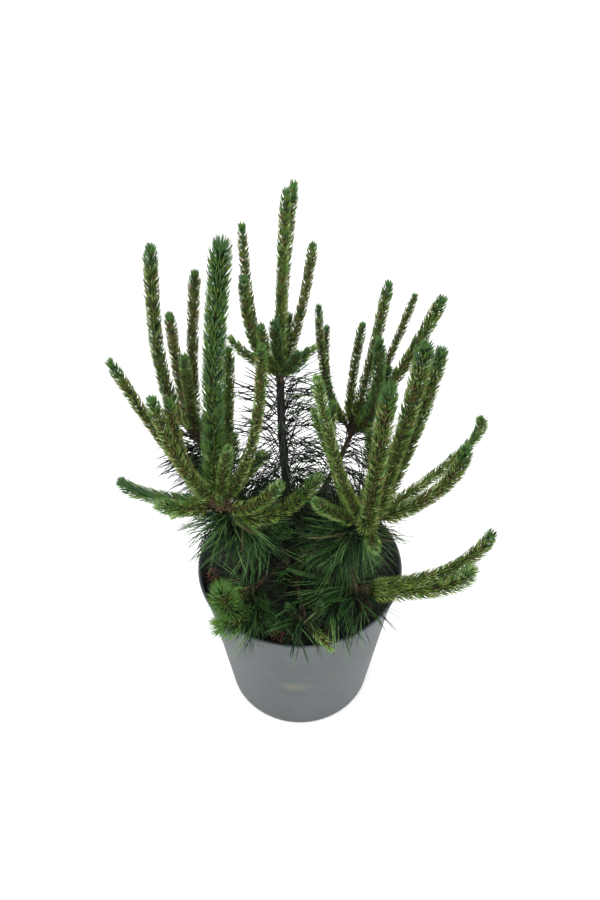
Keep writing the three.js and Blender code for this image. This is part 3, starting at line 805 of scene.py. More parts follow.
def pickShades(look, shares, seed, index):
    # A material number for each pair, drawn from the list for its part of the shoot.
    made = looks[look]
    names = list(needleColours)
    picked = np.zeros(len(shares), int)
    wobble = shares + candle["shadeSpread"] * spread(seed, index, 21)
    parts = [
        (wobble < made["rootTo"], made["root"]),
        ((wobble >= made["rootTo"]) & (wobble < made["tipFrom"]), made["body"]),
        (wobble >= made["tipFrom"], made["tip"]),
    ]
    for chosen, listed in parts:
        numbers = np.array([names.index(name) for name in listed.split()])
        draw = (chance(seed, index, 22) * len(numbers)).astype(int)
        picked[chosen] = numbers[draw[chosen]]
    return picked


def twoTone(outer, inner, each, outerFaces):
    # One shade for a blade's outer faces, which come last, and a darker one for the rest: painted shade.
    shades = np.repeat(inner[:, None], each, 1)
    shades[:, each - outerFaces :] = outer[:, None]
    return shades.ravel()


def keptNeedles(good, places, sizes, rings, shades, outerFaces):
    # The needles that found a clear way. places are roots, starts, ends, faces and lengths, sizes
    # width and thickness, and shades the outer ones and the darker ones painted as shade deeper in.
    corners, faces, each = blades(*(place[good] for place in places), *sizes, rings)
    return corners, faces, twoTone(shades[0][good], shades[1][good], each, outerFaces)


def leaning(along, out, degrees):
    # A direction that leans by an angle from the limb's own towards out.
    return along * np.cos(degrees * degree)[:, None] + out * np.sin(degrees * degree)[:, None]


def shootParts(limb, width, look, seed, flare, bareLength, scaleNumber):
    # A shoot's axis, sheaths and scales as twig parts, and its needles.
    length = limb["length"]
    meanLean = (candle["rootLean"] + candle["tipLean"]) / 2
    needleLength = candle["reach"] * width / math.sin(meanLean * degree)
    axisRadius = min(candle["axisShare"] * width, candle["axisMost"])
    first, last = bareLength, length - candle["tipBack"] * needleLength
    runs = np.linspace(0, last, max(4, int(length / candle["ringStep"])))
    shares = evenShares(limb, runs / length)
    radius = axisRadius * np.interp(runs / last, *candle["taper"])
    twigs = [shaded(barkTube(limb, shares, candle["sides"], radius, candle["relief"], seed))]

    spacing = candle["spacing"] * (candle["usualWidth"] / width) ** 0.5
    grown = int((last - first) / spacing)
    count = grown + int(width * candle["brush"])
    index = np.arange(count)
    strayed = index + 0.5 + candle["runSpread"] * spread(seed, index, 9)
    run = first + (last - first) * np.minimum(strayed / grown, 1)
    share = evenShares(limb, run / length)
    angle = index * goldenAngle + seed
    angle = angle + candle["turnSpread"] * spread(seed, index, 3)
    place, along, out = stationsRound(limb, share, angle)
    closing = np.clip(1 - (last - run) / candle["tuft"], 0, 1) ** candle["close"]
    foot = np.clip(1 - run / last / candle["foot"], 0, 1)
    root = place + out * (axisRadius * (candle["rootIn"] - candle["tipRootIn"] * closing))[:, None]
    flare = flare + looks[look]["flare"]
    lean = candle["leanSpread"] * spread(seed, index, 4) + candle["footLean"] * foot + flare
    outward = chance(seed, index, 10) ** candle["brushFill"]
    brush = (candle["tuftLean"] + flare) * outward
    rootLean = (candle["rootLean"] + lean) * (1 - closing) + brush * closing
    tipLean = (candle["tipLean"] + lean) * (1 - closing) + brush * candle["brushCurl"] * closing
    bladeLength = needleLength * (1 + candle["footLonger"] * foot)
    bladeLength = bladeLength * (1 + candle["lengthSpread"] * spread(seed, index, 5))
    bladeLength = bladeLength * (1 - candle["dome"] * closing * outward**2)
    tangent = np.cross(along, out)
    outer = pickShades(look, run / last, seed, index)
    sizes = candle["needleWidth"], candle["needleThickness"]
    needles = []
    for sign in (-1, 1):
        part = sign * candle["split"] * (1 + candle["splitSpread"] * spread(seed, index, 6 + sign))
        start = unit(leaning(along, out, rootLean) + tangent * part[:, None])
        end = unit(leaning(along, out, tipLean) + tangent * part[:, None] * candle["tipSplit"])
        good = clearBlades(root, start, end, bladeLength)
        ownLength = bladeLength * (1 + candle["ownSpread"] * spread(seed, index, 8 + sign))
        places = root, start, end, out, ownLength
        # Each needle's deeper half takes a darker colour: painted shade.
        shades = outer, paintedShadeOf[outer]
        needles.append(keptNeedles(good, places, sizes, candleRings, shades, candle["outerFaces"]))
    sheaths = blades(
        root - out * candle["sheathIn"],
        leaning(along, out, rootLean),
        leaning(along, out, rootLean - candle["sheathCurl"]),
        out,
        *candle["sheathSize"],
        [(0, 1)],
    )
    twigs.append(shaded(sheaths, 1))

    index = np.arange(candle["scales"])
    share = evenShares(limb, np.sqrt(index / len(index)) * (bareLength + budScale["run"]) / length)
    place, along, out = stationsRound(limb, share, index * goldenAngle + seed)
    lean = budScale["lean"] + budScale["leanSpread"] * chance(seed, index, 11)
    scales = blades(
        place + out * axisRadius * candle["rootIn"],
        leaning(along, out, lean),
        leaning(along, out, lean + budScale["curl"]),
        out,
        budScale["length"] + budScale["lengthSpread"] * chance(seed, index, 12),
        budScale["width"] + chance(seed, index, 13),
        budScale["thickness"],
        scaleRings,
    )
    twigs.append(shaded(scales, scaleNumber))
    return twigs, needles


# Last year's needles: long, dark and bowed, in pairs on the stems and the trunk. A kind is spacing,
# lean, leanSpread, endLean, rise, sag, length, lengthSpread, width, shades, pull and bow: the
# millimetres of limb for each pair, its angle to the limb in degrees with its spread and what it
# loses by the limb's end, how far its root is lifted and its tip drawn down, its size, the running
# shares of its colours from the darkest on, the way that it is drawn, and its sideways bend.
# nearlyBlack deals mostly oldShade and oldDark: painted shade for the needles on the trunk and the stems at
# the back.
nearlyBlack = (0.5, 0.85, 0.97, 0.995, 1)
noPull = (0, 0, 0)
oldKinds = {
    "trunk": (0.72, 90, 8, 14, 0.03, 0.08, 66, 14, 1.2, nearlyBlack, noPull, 0.14),
    "trunkFoot": (1.5, 72, 25, 0, 0.1, 0.4, 50, 14, 1.3, (0.3, 0.6, 0.85, 0.95, 0.98), noPull, 0.36),
    "stem": (0.42, 74, 48, 16, 0.1, 0.65, 70, 15, 0.9, (0.35, 0.6, 0.82, 0.95, 0.99), noPull, 0.65),
    "backStem": (0.8, 84, 22, 4, 0.05, 0.6, 62, 14, 1.15, nearlyBlack, noPull, 0.36),
    "farStem": (0.8, 80, 24, 6, 0.05, 0.7, 66, 14, 1.15, nearlyBlack, noPull, 0.36),
    "lowStem": (0.8, 78, 28, 10, -0.15, 0.5, 60, 16, 1.0, (0.14, 0.42, 0.7, 0.88, 0.97), noPull, 0.36),
    "sweepLeft": (0.6, 75, 36, 0, 0.1, 0.35, 74, 16, 0.85,
                  (0.2, 0.45, 0.7, 0.87, 0.99), (-0.8, -0.3, -0.3), 0.36),
    "sweepRight": (1.3, 75, 42, 0, -0.1, -0.75, 88, 8, 0.9,
                   (0, 0.1, 0.3, 0.6, 0.99), (2.4, -0.7, -0.7), 0.5),
    "sweepAcross": (1.2, 75, 26, 0, -0.1, -0.3, 80, 10, 0.9,
                    (0, 0.1, 0.4, 0.7, 0.99), (-2.2, -0.8, -0.8), 0.36),
    "sweepOut": (0.8, 80, 30, 0, 0, 0.2, 62, 12, 1.1, nearlyBlack, (-1.3, -0.3, -0.4), 0.36),
    "loose": (1.1, 80, 60, 0, 0.3, 0.5, 70, 16, 0.8, (0, 0, 0.15, 0.55, 0.97), (0.1, -0.6, -0.1), 0.8),
    "sweepDown": (0.7, 75, 30, 0, 0.1, 0.25, 76, 14, 0.95,
                  (0.05, 0.2, 0.45, 0.75, 0.97), (-1.6, -1.7, 0.1), 0.36),
    "sweepLevel": (1.7, 75, 24, 0, 0.1, 0.1, 84, 10, 0.9,
                   (0, 0, 0.25, 0.65, 1), (-2.6, -0.5, 0.5), 0.36),
    "drape": (0.9, 75, 35, 0, 0.35, 1.2, 74, 10, 0.9, (0.2, 0.55, 0.8, 0.93, 1), (0, -1.1, 0.2), 0.36),
    "few": (1.3, 70, 30, 0, 0.2, 1.0, 54, 10, 0.85,
            (0.15, 0.5, 0.75, 0.93, 1), (-0.2, -0.8, 0.3), 0.36),
    "bough": (1.1, 66, 30, 0, 0.15, 0.6, 58, 15, 1.3, (0.3, 0.6, 0.85, 0.95, 0.98), noPull, 0.36),
}
oldTerms = "spacing lean leanSpread endLean rise sag length lengthSpread width shades pull bow".split()
oldGrowth = {name: dict(zip(oldTerms, kind)) for name, kind in oldKinds.items()}
oldNeedle = {
    "split": 0.05,
    "alongSplit": 0.7,  # how much of that parting also runs along the limb
    "thickness": 0.65,  # as a share of the width
    "rootIn": 0.7,  # where needles start, as a share of the limb's radius
    "turnSpread": 0.5,
    "ownSpread": 0.08,  # what the two of a pair differ in length
    "wispTurn": 1.6,  # how fine the wisps are round the limb
    "wispSize": 22,  # and in millimetres
    "wispDepth": 1.3,
    "lean": (0.4, 0.85),  # the wisp's weight and the needle's own, here and in the next two
    "sag": (0.55, 0.8),
    "bow": (0.8, 1.1),
    # outerFaces: a needle's last faces, which keep its colour; the rest take the next darker one as painted
    # shade
    "outerFaces": 15,
}
oldRings = [(0, 0.8), (0.3, 1), (0.6, 1), (0.85, 0.75)]
# How a needle that would run into the pot or the compost is turned: the least height of its
# direction at root and tip, tried one after the other.
settling = [(-1, -1), (0.1, -1), (0.25, -1), (0.4, -1)]
settling += [(0.6, -0.5), (0.05, -0.12), (0.3, -0.25), (0.8, 0.1)]


def settled(root, start, end, length):
    # Directions that keep clear of the pot and the compost, and whether a needle found any.
    found = np.zeros(len(root), bool)
    start, end = start.copy(), end.copy()
    for lowRoot, lowTip in settling:
        tryStart, tryEnd = start.copy(), end.copy()
        tryStart[:, 2] = np.maximum(start[:, 2], lowRoot)
        tryEnd[:, 2] = np.maximum(end[:, 2], lowTip)
        tryStart, tryEnd = unit(tryStart), unit(tryEnd)
        good = clearBlades(root, tryStart, tryEnd, length) & ~found
        start[good], end[good] = tryStart[good], tryEnd[good]
        found |= good
    return start, end, found


def oldNeedleParts(limb, stretch, growth, radiusAt, seed):
    # Pairs of old needles on a stretch of a limb. Each leans out, rises a little, and sags and
    # bows towards its tip.
    first, last = stretch
    count = max(2, int(limb["length"] * (last - first) / growth["spacing"]))
    index = np.arange(count)
    share = first + (last - first) * (index + chance(seed, index, 30)) / count
    angle = index * goldenAngle + seed * 2 + oldNeedle["turnSpread"] * spread(seed, index, 31)
    place, along, out = stationsRound(limb, share, angle)
    # Neighbours share a part of their lean, sag and bow, so that they lie in wisps.
    field = out * oldNeedle["wispTurn"] + place / oldNeedle["wispSize"]
    wisp = [lumps(field, seed + draw) * oldNeedle["wispDepth"] for draw in (1, 2, 3)]
    shared, own = oldNeedle["lean"]
    lean = growth["lean"] - growth["endLean"] * share**2
    lean = lean + growth["leanSpread"] * (shared * wisp[0] + own * spread(seed, index, 32))
    aim = leaning(along, out, lean)
    aim[:, 2] += growth["rise"]
    aim = unit(aim) + np.array(growth["pull"], float)
    root = place + out * (radiusAt(share) * oldNeedle["rootIn"])[:, None]
    tangent = unit(np.cross(along, out))
    shared, own = oldNeedle["sag"]
    drop = growth["sag"] * (1 + shared * wisp[1] + own * spread(seed, index, 33))
    shared, own = oldNeedle["bow"]
    bow = growth["bow"] * (shared * wisp[2] + own * spread(seed, index, 34))
    length = growth["length"] + growth["lengthSpread"] * spread(seed, index, 35)
    shades = np.searchsorted(growth["shades"], chance(seed, index, 36))
    # Each needle's deeper faces take the next darker colour: painted shade towards the root.
    shades = shades, np.maximum(shades - 1, 0)
    face = unit(np.array([0, 0, 1.0]) + out)
    sizes = growth["width"], growth["width"] * oldNeedle["thickness"]
    needles = []
    for sign in (-1, 1):
        part = sign * oldNeedle["split"] * (1 + spread(seed, index, 37 + sign))
        start = unit(aim + tangent * part[:, None] + along * (part * oldNeedle["alongSplit"])[:, None])
        end = unit(start + tangent * bow[:, None] + np.array([0, 0, -1.0]) * drop[:, None])
        bladeLength = length * (1 + oldNeedle["ownSpread"] * spread(seed, index, 39 + sign))
        start, end, good = settled(root, start, end, bladeLength)
        places = root, start, end, face, bladeLength
        needles.append(keptNeedles(good, places, sizes, oldRings, shades, oldNeedle["outerFaces"]))
    return needles


hub = {
    "scales": 80,
    "ragged": 0.35,  # how far the scales' directions vary
    "lift": 0.75,  # how far the scales point outwards, and as far upwards
    "scaleLength": (0.6, 0.5),  # least and what chance adds, as shares of the radius
    "scaleWidth": (0.32, 0.16),
    "scaleThickness": 0.8,
    "relief": 0.25,
    "sides": 12,
    "rings": 9,
    "radius": 5.5,
    "large": 9.8,
    "largeOn": ("left", "right"),
    "largeShift": (0, -6, 9),
}
# Hubs whose bud scales take the darker paper, painted shade for hubs that lie in shade.
hubsInPaintedShade = ("leader", "back_left", "back_right", "front_low")


def hubParts(place, radius, scaleNumber, seed):
    # The knot where shoots start: a ball of bark under overlapping papery bud scales.
    index = np.arange(hub["scales"])
    rise = 1 - 2 * (index + 0.5) / len(index)
    flat = np.sqrt(1 - rise**2)
    angle = index * goldenAngle
    out = np.stack([flat * np.cos(angle), flat * np.sin(angle), rise], -1)
    ragged = np.stack([spread(seed, index, draw) for draw in (41, 42, 43)], -1)
    lift = unit(out * hub["lift"] + np.array([0, 0, hub["lift"]]) + hub["ragged"] * ragged)
    length, width = (
        radius * (hub[kind][0] + hub[kind][1] * chance(seed, index, draw))
        for kind, draw in (("scaleLength", 44), ("scaleWidth", 45))
    )
    scales = blades(
        np.array(place, float) + out * radius * 0.8,
        lift,
        unit(lift + out * 0.8),
        out,
        length,
        width,
        hub["scaleThickness"],
        scaleRings,
    )
    limb = limbAlong([np.array(place) + (0, 0, dz) for dz in (-radius, 0, radius)])
    shares = np.linspace(0.02, 0.98, hub["rings"])
    ball = radius * np.sqrt(1 - (2 * shares - 1) ** 2)
    core = barkTube(limb, shares, hub["sides"], ball, hub["relief"], seed)
    return [shaded(scales, scaleNumber), shaded(core, 3)]


spur = {"rise": 8, "rootRadius": 2.2, "endRadius": 1.2, "sides": 8, "rings": 12, "stretch": (0.1, 1)}


def spurRadiusAt(shares):
    # A straight taper.
    return spur["rootRadius"] + (spur["endRadius"] - spur["rootRadius"]) * shares


def spurParts(place, row, seed):
    # A fine twig from a whorl towards the rim, arched over, with long needles that hang off it. Its
    # row is the place of its end and its needles' length.
    start, end = np.array(place, float), np.array(row[:3], float)
    limb = limbAlong([start, (start + end) / 2 + (0, 0, spur["rise"]), end])
    shares = np.linspace(0, 1, spur["rings"])
    twig = barkTube(limb, shares, spur["sides"], spurRadiusAt(shares), bough["relief"], seed)
    growth = {**oldGrowth["drape"], "length": row[3]}
    needles = oldNeedleParts(limb, spur["stretch"], growth, spurRadiusAt, seed)
    return shaded(twig, 3), needles


# Trunk and boughs
angles = evenTurns(trunk["sides"])
shares = np.linspace(0, 1, int(trunkLimb["length"] / trunk["ringStep"]))
relief = barkRadii(trunkLimb, shares, trunk["sides"], 1.0, trunk["relief"], 5)
trunkTube = tube(trunkLimb, shares, trunk["sides"], trunkRadiusAt(shares, angles) * relief)
pieceFrom("trunk_bark", [shaded(trunkTube)], [trunkBark], ["trunk"])

for number, (name, whorl) in enumerate(whorls.items()):
    whorl["stem"] = stemLimb(whorl)
    whorl["bareShare"] = bough["bareShare"] if whorl["boughHeight"] else 0.0
    if not whorl["boughHeight"]:
        continue
    limb = whorl["stem"]
    rings = int(limb["length"] * whorl["bareShare"] / bough["ringStep"])
    shares = np.linspace(0, whorl["bareShare"] + bough["overlap"], rings)
    boughTube = barkTube(limb, shares, bough["sides"], stemRadiusAt(shares), bough["relief"], number)
    pieceFrom(f"bough_bark_{name}", [shaded(boughTube)], [boughBark], [f"bough_{name}"])
print("trunk and boughs")

# Masses
for number, (name, whorl) in enumerate(whorls.items()):
    seed = number + 1
    limb = whorl["stem"]
    scaleNumber = 4 if name in hubsInPaintedShade else 2
    if name in hub["largeOn"]:
        twigs = hubParts(np.array(whorl["place"]) + hub["largeShift"], hub["large"], scaleNumber, seed)
    else:
        twigs = hubParts(whorl["place"], hub["radius"], scaleNumber, seed)
    needles = []
    shares = np.linspace(whorl["bareShare"], 1, max(4, int(limb["length"] / bough["stemRingStep"])))
    stem = barkTube(limb, shares, bough["stemSides"], stemRadiusAt(shares), bough["relief"], number)
    twigs.append(shaded(stem, 3))
    for index, row in enumerate(shootsOf(whorl, seed)):
        shoot = shootLimb(whorl["place"], row)
        bareLength = candle["bareLength" if row[3] > candle["fullWidth"] else "shortBareLength"]
        shootTwigs, shootNeedles = shootParts(
            shoot, row[3], row[7], seed * 20 + index, whorl.get("flare", 0), bareLength, scaleNumber
        )
        twigs += shootTwigs
        needles += shootNeedles
    oldNeedles = []
    for draw, (kind, stretch) in enumerate(whorl.get("oldGrowth", usualGrowth).items()):
        oldNeedles += oldNeedleParts(limb, stretch, oldGrowth[kind], stemRadiusAt, seed * 50 + draw)
    for draw, spurRow in enumerate(whorl.get("spurs", ())):
        spurTwig, spurNeedles = spurParts(whorl["place"], spurRow, seed * 50 + 10 + draw)
        twigs.append(spurTwig)
        oldNeedles += spurNeedles
    node = [f"shoots_{name}"]
    pieceFrom(f"twigs_{name}", twigs, twigMaterials, node)
    pieceFrom(f"needles_{name}", needles, needleMaterials, node)
    pieceFrom(f"old_needles_{name}", oldNeedles, oldNeedleMaterials, node)
    print("mass", name, *(triangles[f"{kind}_{name}"] for kind in ("needles", "old_needles", "twigs")))


def trunkSurface(shares):
    # The trunk's radius without its ridges.
    return trunkRadiusAt(shares, np.zeros(1))[:, 0]


sleeves = {"lower": (0.375, 0.625), "upper": (0.627, 0.99)}
for number, (name, stretch) in enumerate(sleeves.items()):
    parts = oldNeedleParts(trunkLimb, stretch, oldGrowth["trunk"], trunkSurface, 700 + number)
    if name == "lower":
        parts += oldNeedleParts(trunkLimb, (0.08, stretch[0]), oldGrowth["trunkFoot"], trunkSurface, 710)
    node = [f"trunk_needles_{name}"]
    pieceFrom(f"old_needles_trunk_{name}", parts, oldNeedleMaterials, node)
print("trunk needles")


def turnedSurface(profile, around, heightAt=None):
    # A profile of (radius, height) turned round the Z axis. Rows that touch the axis close there.
    profile = np.array(profile, float)
    angles = evenTurns(around)
    inner = profile[1:-1]
    x = inner[:, :1] * np.cos(angles)
    y = inner[:, :1] * np.sin(angles)
    z = inner[:, 1:] + 0 * x
    wall = np.stack([x, y, z], -1).reshape(-1, 3)
    ends = np.array([[0, 0, profile[0, 1]], [0, 0, profile[-1, 1]]])
    corners = np.vstack([wall, ends])
    if heightAt is not None:
        corners[:, 2] = heightAt(corners)
    return corners, ringFaces(len(inner), around)


def potProfile():
    # The pot's section from the middle of its underside, up the outside, over the rounded lip and
    # down the inside. Straight runs are cut into short steps so that the wall shades evenly.
    wall, lip = pot["wall"], pot["lipProud"]
    rim, height = pot["rimRadius"], pot["rimHeight"]
    turns = np.linspace(-90, 90, 9) * degree
    lipCentre = height - pot["lipHeight"] / 2
    bead = [(rim + lip * np.cos(a), lipCentre + pot["lipHeight"] / 2 * np.sin(a)) for a in turns]
    foot, collar, collarZ = pot["footRadius"], pot["collarRadius"], pot["collarHeight"]
    outside = [(foot - 6, 0), (foot, 0), (foot + 4, 1.6)]
    outside += [(potRadiusAt(z), z) for z in np.linspace(pot["heelHeight"], collarZ - 2, 30)]
    outside += [(collar - 0.1, collarZ - 0.8), (collar + 0.5, collarZ + 1.4)]
    outside += [(potRadiusAt(z), z) for z in np.linspace(collarZ + 3, height - pot["lipHeight"] - 0.5, 12)]
    inside = [(rim - wall + 0.4, height - 0.2), (rim - wall, height - 1.2)]
    inside += [(potRadiusAt(z) - wall, z) for z in np.linspace(height - 4, collarZ, 8)]
    heel = pot["heelRadius"] - wall
    inside += [(heel, pot["heelHeight"] + pot["floor"]), (heel - 6, pot["floor"])]
    return [(0, 0)] + outside + bead + inside + [(0, pot["floor"])]


def potMaterial():
    # Injection-moulded polypropylene, mid grey: satin, with faint flow bands and a fine grain, a
    # dusting of dry compost in patches, and a worn yellowish smear low on the front.
    material, tree, shader, place = newMaterial("mouldedPolypropylene")
    flow = addNode(tree, "Mapping", {"Vector": place, "Scale": (1, 1, 0.4)}).outputs[0]
    bands = noise(tree, flow, 70, 2.0)
    base = ramp(tree, bands, [(0.3, "#424849"), (0.5, "#464c4e"), (0.7, "#4a5052")])
    dust = noise(tree, place, 26, 6.0)
    dusty = ramp(tree, dust, [(0.55, "#000000"), (0.8, "#ffffff")])
    dustInputs = {"Factor": mapped(tree, dusty, 0.0, 0.16), 6: base, 7: linear("#7d7664")}
    mixed = addNode(tree, "Mix", dustInputs, data_type="RGBA")
    smearInputs = {"Vector": place, "Location": (0.25, 7.3, -8.2), "Scale": (34, 60, 66)}
    smearPlace = addNode(tree, "Mapping", smearInputs).outputs[0]
    near = addNode(tree, "TexGradient", {"Vector": smearPlace}, gradient_type="SPHERICAL").outputs["Fac"]
    streaks = noise(tree, addNode(tree, "Mapping", {"Vector": place, "Scale": (1, 1, 5)}).outputs[0], 9, 4.0)
    streaky = {0: near, 1: mapped(tree, streaks, -0.6, 1.6)}
    smear = addNode(tree, "Math", streaky, operation="MULTIPLY", use_clamp=True)
    wornInputs = {"Factor": smear.outputs[0], 6: mixed.outputs[2], 7: linear("#746f5c")}
    worn = addNode(tree, "Mix", wornInputs, data_type="RGBA")
    tree.links.new(worn.outputs[2], shader.inputs["Base Color"])
    shader.inputs["IOR"].default_value = 1.49
    shader.inputs["Specular IOR Level"].default_value = 0.3
    tree.links.new(mapped(tree, dust, 0.48, 0.62), shader.inputs["Roughness"])
    grain = noise(tree, place, 0.8, 2.0)
    tree.links.new(bump(tree, grain, 0.05, 0.5), shader.inputs["Normal"])
    return material


potSurface = turnedSurface(potProfile(), pot["around"])
pieceFrom("pot_wall", [shaded(potSurface)], [potMaterial()], ["pot"])
print("pot")


def compostHeight(points):
    # The source's lumps: a sine times a cosine and a crossing sine, faded out near the trunk, with
    # crumbs of smooth noise on top.
    x, y = points[..., 0], points[..., 1]
    step = compost["lumpLength"]
    wave = np.sin(x / step + 1) * np.cos(y / step) + compost["crossLump"] * np.sin((x - 2 * y) / step)
    fromTrunk = np.hypot(x - trunk["axis"][0][0], y) / compost["seatRadius"]
    fade = np.clip(fromTrunk - 1, 0, 1)
    flat = np.stack([x, y, 0 * x], -1)
    crumbs = lumps(flat / 7, 3) * 0.6 + lumps(flat / 3, 4) * 0.4
    return compost["level"] + compost["lump"] * wave * fade + compost["grain"] * crumbs


def compostParts():
    # A lumpy top in rings from the wall to the middle, over a plain plug that fills the pot.
    gap = pot["wall"] + 0.3
    edge = potRadiusAt(compost["level"] - 3) - gap
    rows = [(0, pot["floor"] + 0.4), (pot["heelRadius"] - gap - 7, pot["floor"] + 0.4)]
    rows += [(pot["collarRadius"] - gap, pot["collarHeight"]), (edge, compost["level"] - 3)]
    rows += [(radius, compost["level"]) for radius in np.linspace(edge - 0.5, 2, 66)]
    rows.append((0, compost["level"]))

    def heightAt(corners):
        # The lumps on the top, and the plug's own heights below it.
        return np.where(corners[:, 2] > compost["level"] - 1, compostHeight(corners), corners[:, 2])

    return turnedSurface(rows, 180, heightAt)


def chipParts():
    # Flat six-sided flakes of bark lying on the compost at all angles.
    index = np.arange(compost["chips"])
    radius = np.sqrt(chance(900, index, 1)) * (potRadiusAt(compost["level"]) - 8)
    angle = 2 * np.pi * chance(900, index, 2)
    place = np.stack([radius * np.cos(angle), radius * np.sin(angle), 0 * radius], -1)
    place[:, 2] = compostHeight(place) + 0.6
    least, more, rare = compost["chipSize"]
    size = least + more * chance(900, index, 3) ** rare
    normal = unit(np.stack([spread(900, index, 4), spread(900, index, 5), 0.6 + chance(900, index, 6)], -1))
    flat = unit(np.cross(normal, np.array([0.3, 1, 0.2])))
    across = np.cross(normal, flat)
    turns = evenTurns(6)
    rough = 0.7 + 0.5 * chance(900, index[:, None] * 6 + np.arange(6), 7)
    reach = (size[:, None] * rough)[..., None]
    rim = flat[:, None] * np.cos(turns)[:, None] * reach
    rim = rim + across[:, None] * np.sin(turns)[:, None] * reach * compost["chipWidth"]
    thick = (normal * (size * 0.16 + 0.25)[:, None])[:, None]
    corners = np.concatenate([place[:, None] + rim - thick, place[:, None] + rim * 0.85 + thick], 1)
    faces = []
    for side in range(6):
        after = (side + 1) % 6
        faces += [(side, after, after + 6), (side, after + 6, side + 6)]
    faces += [(0, side + 1, side) for side in range(1, 5)] + [(6, side + 6, side + 7) for side in range(1, 5)]
    shade = (chance(900, index, 8) * 3).astype(int)
    return corners.reshape(-1, 3), repeated(faces, 12, len(index)), np.repeat(shade, len(faces))


compostSurface = compostParts()
# Peat with composted bark, with brown fibres, wholly matt. It is nearly black: partly the peat's own
# colour and partly painted shade under the crown.
peatStops = [(0.35, "#020201"), (0.52, "#090604"), (0.68, "#170f0a"), (0.8, "#2c2016")]
peat = dryMaterial("darkPeatAndPaintedShade", 5, 8.0, peatStops, 0.95, 1.6)
pieceFrom("compost_bed", [shaded(compostSurface)], [peat], ["compost"])
# Bark chips: corky and matt, paler on the broken edges.
chipColours = [("Dark", "#060403", "#150e0a"), ("Brown", "#0f0a07", "#2c1f16"), ("Red", "#190d09", "#3c241a")]
chipMaterials = [
    dryMaterial(f"barkChip{name}", 2, 4.0, [(0.3, code), (0.75, lightCode)], 0.9)
    for name, code, lightCode in chipColours
]
pieceFrom("compost_chips", [chipParts()], chipMaterials, ["compost"], smooth=False)
print("compost")


def feedConeParts(x, y, seed):
    # A blunt cone covered by granules: slim six-sided spindles set in a golden-angle spiral.
    radius, height = feedCones["radius"], feedCones["height"]
    rows = [(0, -feedCones["sunk"]), (radius - 1, -feedCones["sunk"]), (radius - 1, 0)]
    rows += [(radius * 0.45, height * 0.6), (radius * 0.2, height - 4), (0, height - 2)]
    corners, faces = turnedSurface([(r * 0.8, z * 0.85 if z > 0 else z) for r, z in rows], 14)
    # The cone's core is near-black: painted shade in the gaps between the granules.
    core = (corners + (x, y, compost["level"]), faces, np.ones(len(faces), int))
    index = np.arange(feedCones["granules"])
    rise = (1 - np.sqrt(1 - (index + 0.5) / len(index))) * height
    around = np.interp(rise, [0, height * 0.6, height], [radius - 0.5, radius * 0.5, 0.6])
    angle = index * goldenAngle
    out = np.stack([np.cos(angle), np.sin(angle), 0 * angle], -1)
    middle = out * around[:, None] + np.stack([0 * rise + x, 0 * rise + y, rise + compost["level"]], -1)
    ragged = np.stack([spread(seed, index, draw) for draw in (1, 2, 3)], -1)
    along = unit(ragged * (0.8, 0.8, 1.2) + out * 0.2)
    side = unit(np.cross(along, np.array([0.2, 0.3, 1.0])))
    up = np.cross(along, side)
    half = feedCones["granule"] * (0.8 + 0.5 * chance(seed, index, 4))
    wide = half * feedCones["granuleWidth"]
    ring = circles(side, up, evenTurns(6))
    rings = [
        middle[:, None] + along[:, None] * (half * s)[:, None, None] + ring * (wide * w)[:, None, None]
        for s, w in ((-0.55, 0.85), (0.5, 0.9))
    ]
    tips = [middle[:, None] + along[:, None] * (half * s)[:, None, None] for s in (-1, 1)]
    corners = np.concatenate([*rings, *tips], 1).reshape(-1, 3)
    return [core, shaded((corners, repeated(ringFaces(2, 6), 14, len(index))))]


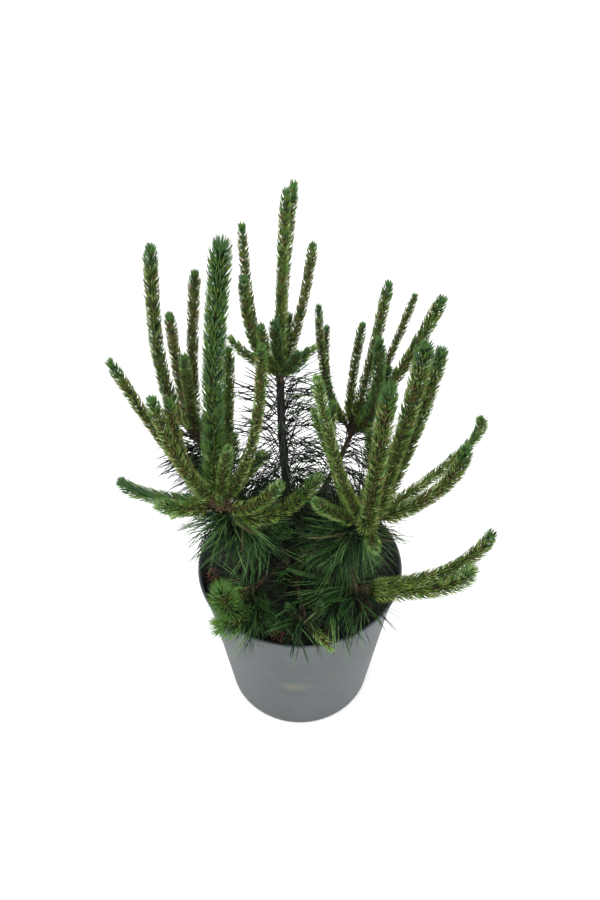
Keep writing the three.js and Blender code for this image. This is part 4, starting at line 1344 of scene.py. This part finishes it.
# Pressed coated feed granules: resin-coated, reddish brown, half glossy, on a near-black matt core
# that is painted shade in the gaps between them.
granuleStops = [(0.3, "#1c0d08"), (0.5, "#402016"), (0.72, "#7a4a3a")]
granules = [
    dryMaterial("resinCoatedGranules", 2.5, 3.0, granuleStops, (0.35, 0.65)),
    dryMaterial("feedConeCorePaintedShade", 2, 4.0, [(0.3, "#070302"), (0.75, "#180c08")], 0.9),
]
for number, (x, y) in enumerate(feedCones["places"]):
    parts = feedConeParts(x, y, 950 + number)
    pieceFrom(f"feed_granules_{number + 1}", parts, granules, [f"feed_cone_{number + 1}"])
print("feed cones")


# The stage, in metres and degrees: a white floor, an even sky, two soft suns and the camera.
studio = {
    "floorHalf": 15,
    "skyStrength": 1.4,
    "key": {"strength": 1.3, "turn": (34, 0, -25), "softness": 70},
    "fill": {"strength": 0.2, "turn": (50, 0, 75), "softness": 80},
}
camera = {"place": (0, -0.770, 1.155), "pitch": 42.2, "lens": 34}

half = studio["floorHalf"]
floorMesh = bpy.data.meshes.new("floor")
floorCorners = [(-half, -half, 0), (half, -half, 0), (half, half, 0), (-half, half, 0)]
floorMesh.from_pydata(floorCorners, [], [(0, 1, 2, 3)])
floor = bpy.data.objects.new("floor", floorMesh)
bpy.context.scene.collection.objects.link(floor)
floorPaint, floorTree, floorShader, floorPlace = newMaterial("matteStudioPaper")
paper = ramp(floorTree, noise(floorTree, floorPlace, 400), [(0, "#fcfcfc"), (1, "#ffffff")])
floorTree.links.new(paper, floorShader.inputs["Base Color"])
floorShader.inputs["Roughness"].default_value = 0.9
floorMesh.materials.append(floorPaint)

world = bpy.data.worlds.new("studioSky")
world.use_nodes = True
world.node_tree.nodes["Background"].inputs["Color"].default_value = (1, 1, 1, 1)
world.node_tree.nodes["Background"].inputs["Strength"].default_value = studio["skyStrength"]
bpy.context.scene.world = world

for name in ("key", "fill"):
    made = studio[name]
    lamp = bpy.data.lights.new(name, "SUN")
    lamp.energy = made["strength"]
    lamp.angle = made["softness"] * degree
    holder = bpy.data.objects.new(name, lamp)
    holder.rotation_euler = [turn * degree for turn in made["turn"]]
    bpy.context.scene.collection.objects.link(holder)

eye = bpy.data.cameras.new("camera")
eye.lens = camera["lens"]
eye.clip_end = 100
viewer = bpy.data.objects.new("camera", eye)
viewer.location = camera["place"]
viewer.rotation_euler = ((90 - camera["pitch"]) * degree, 0, 0)
bpy.context.scene.collection.objects.link(viewer)
bpy.context.scene.camera = viewer
bpy.context.scene.view_settings.view_transform = "Standard"

print("pieces", len(triangles), "triangles", sum(triangles.values()), "largest", max(triangles.values()))
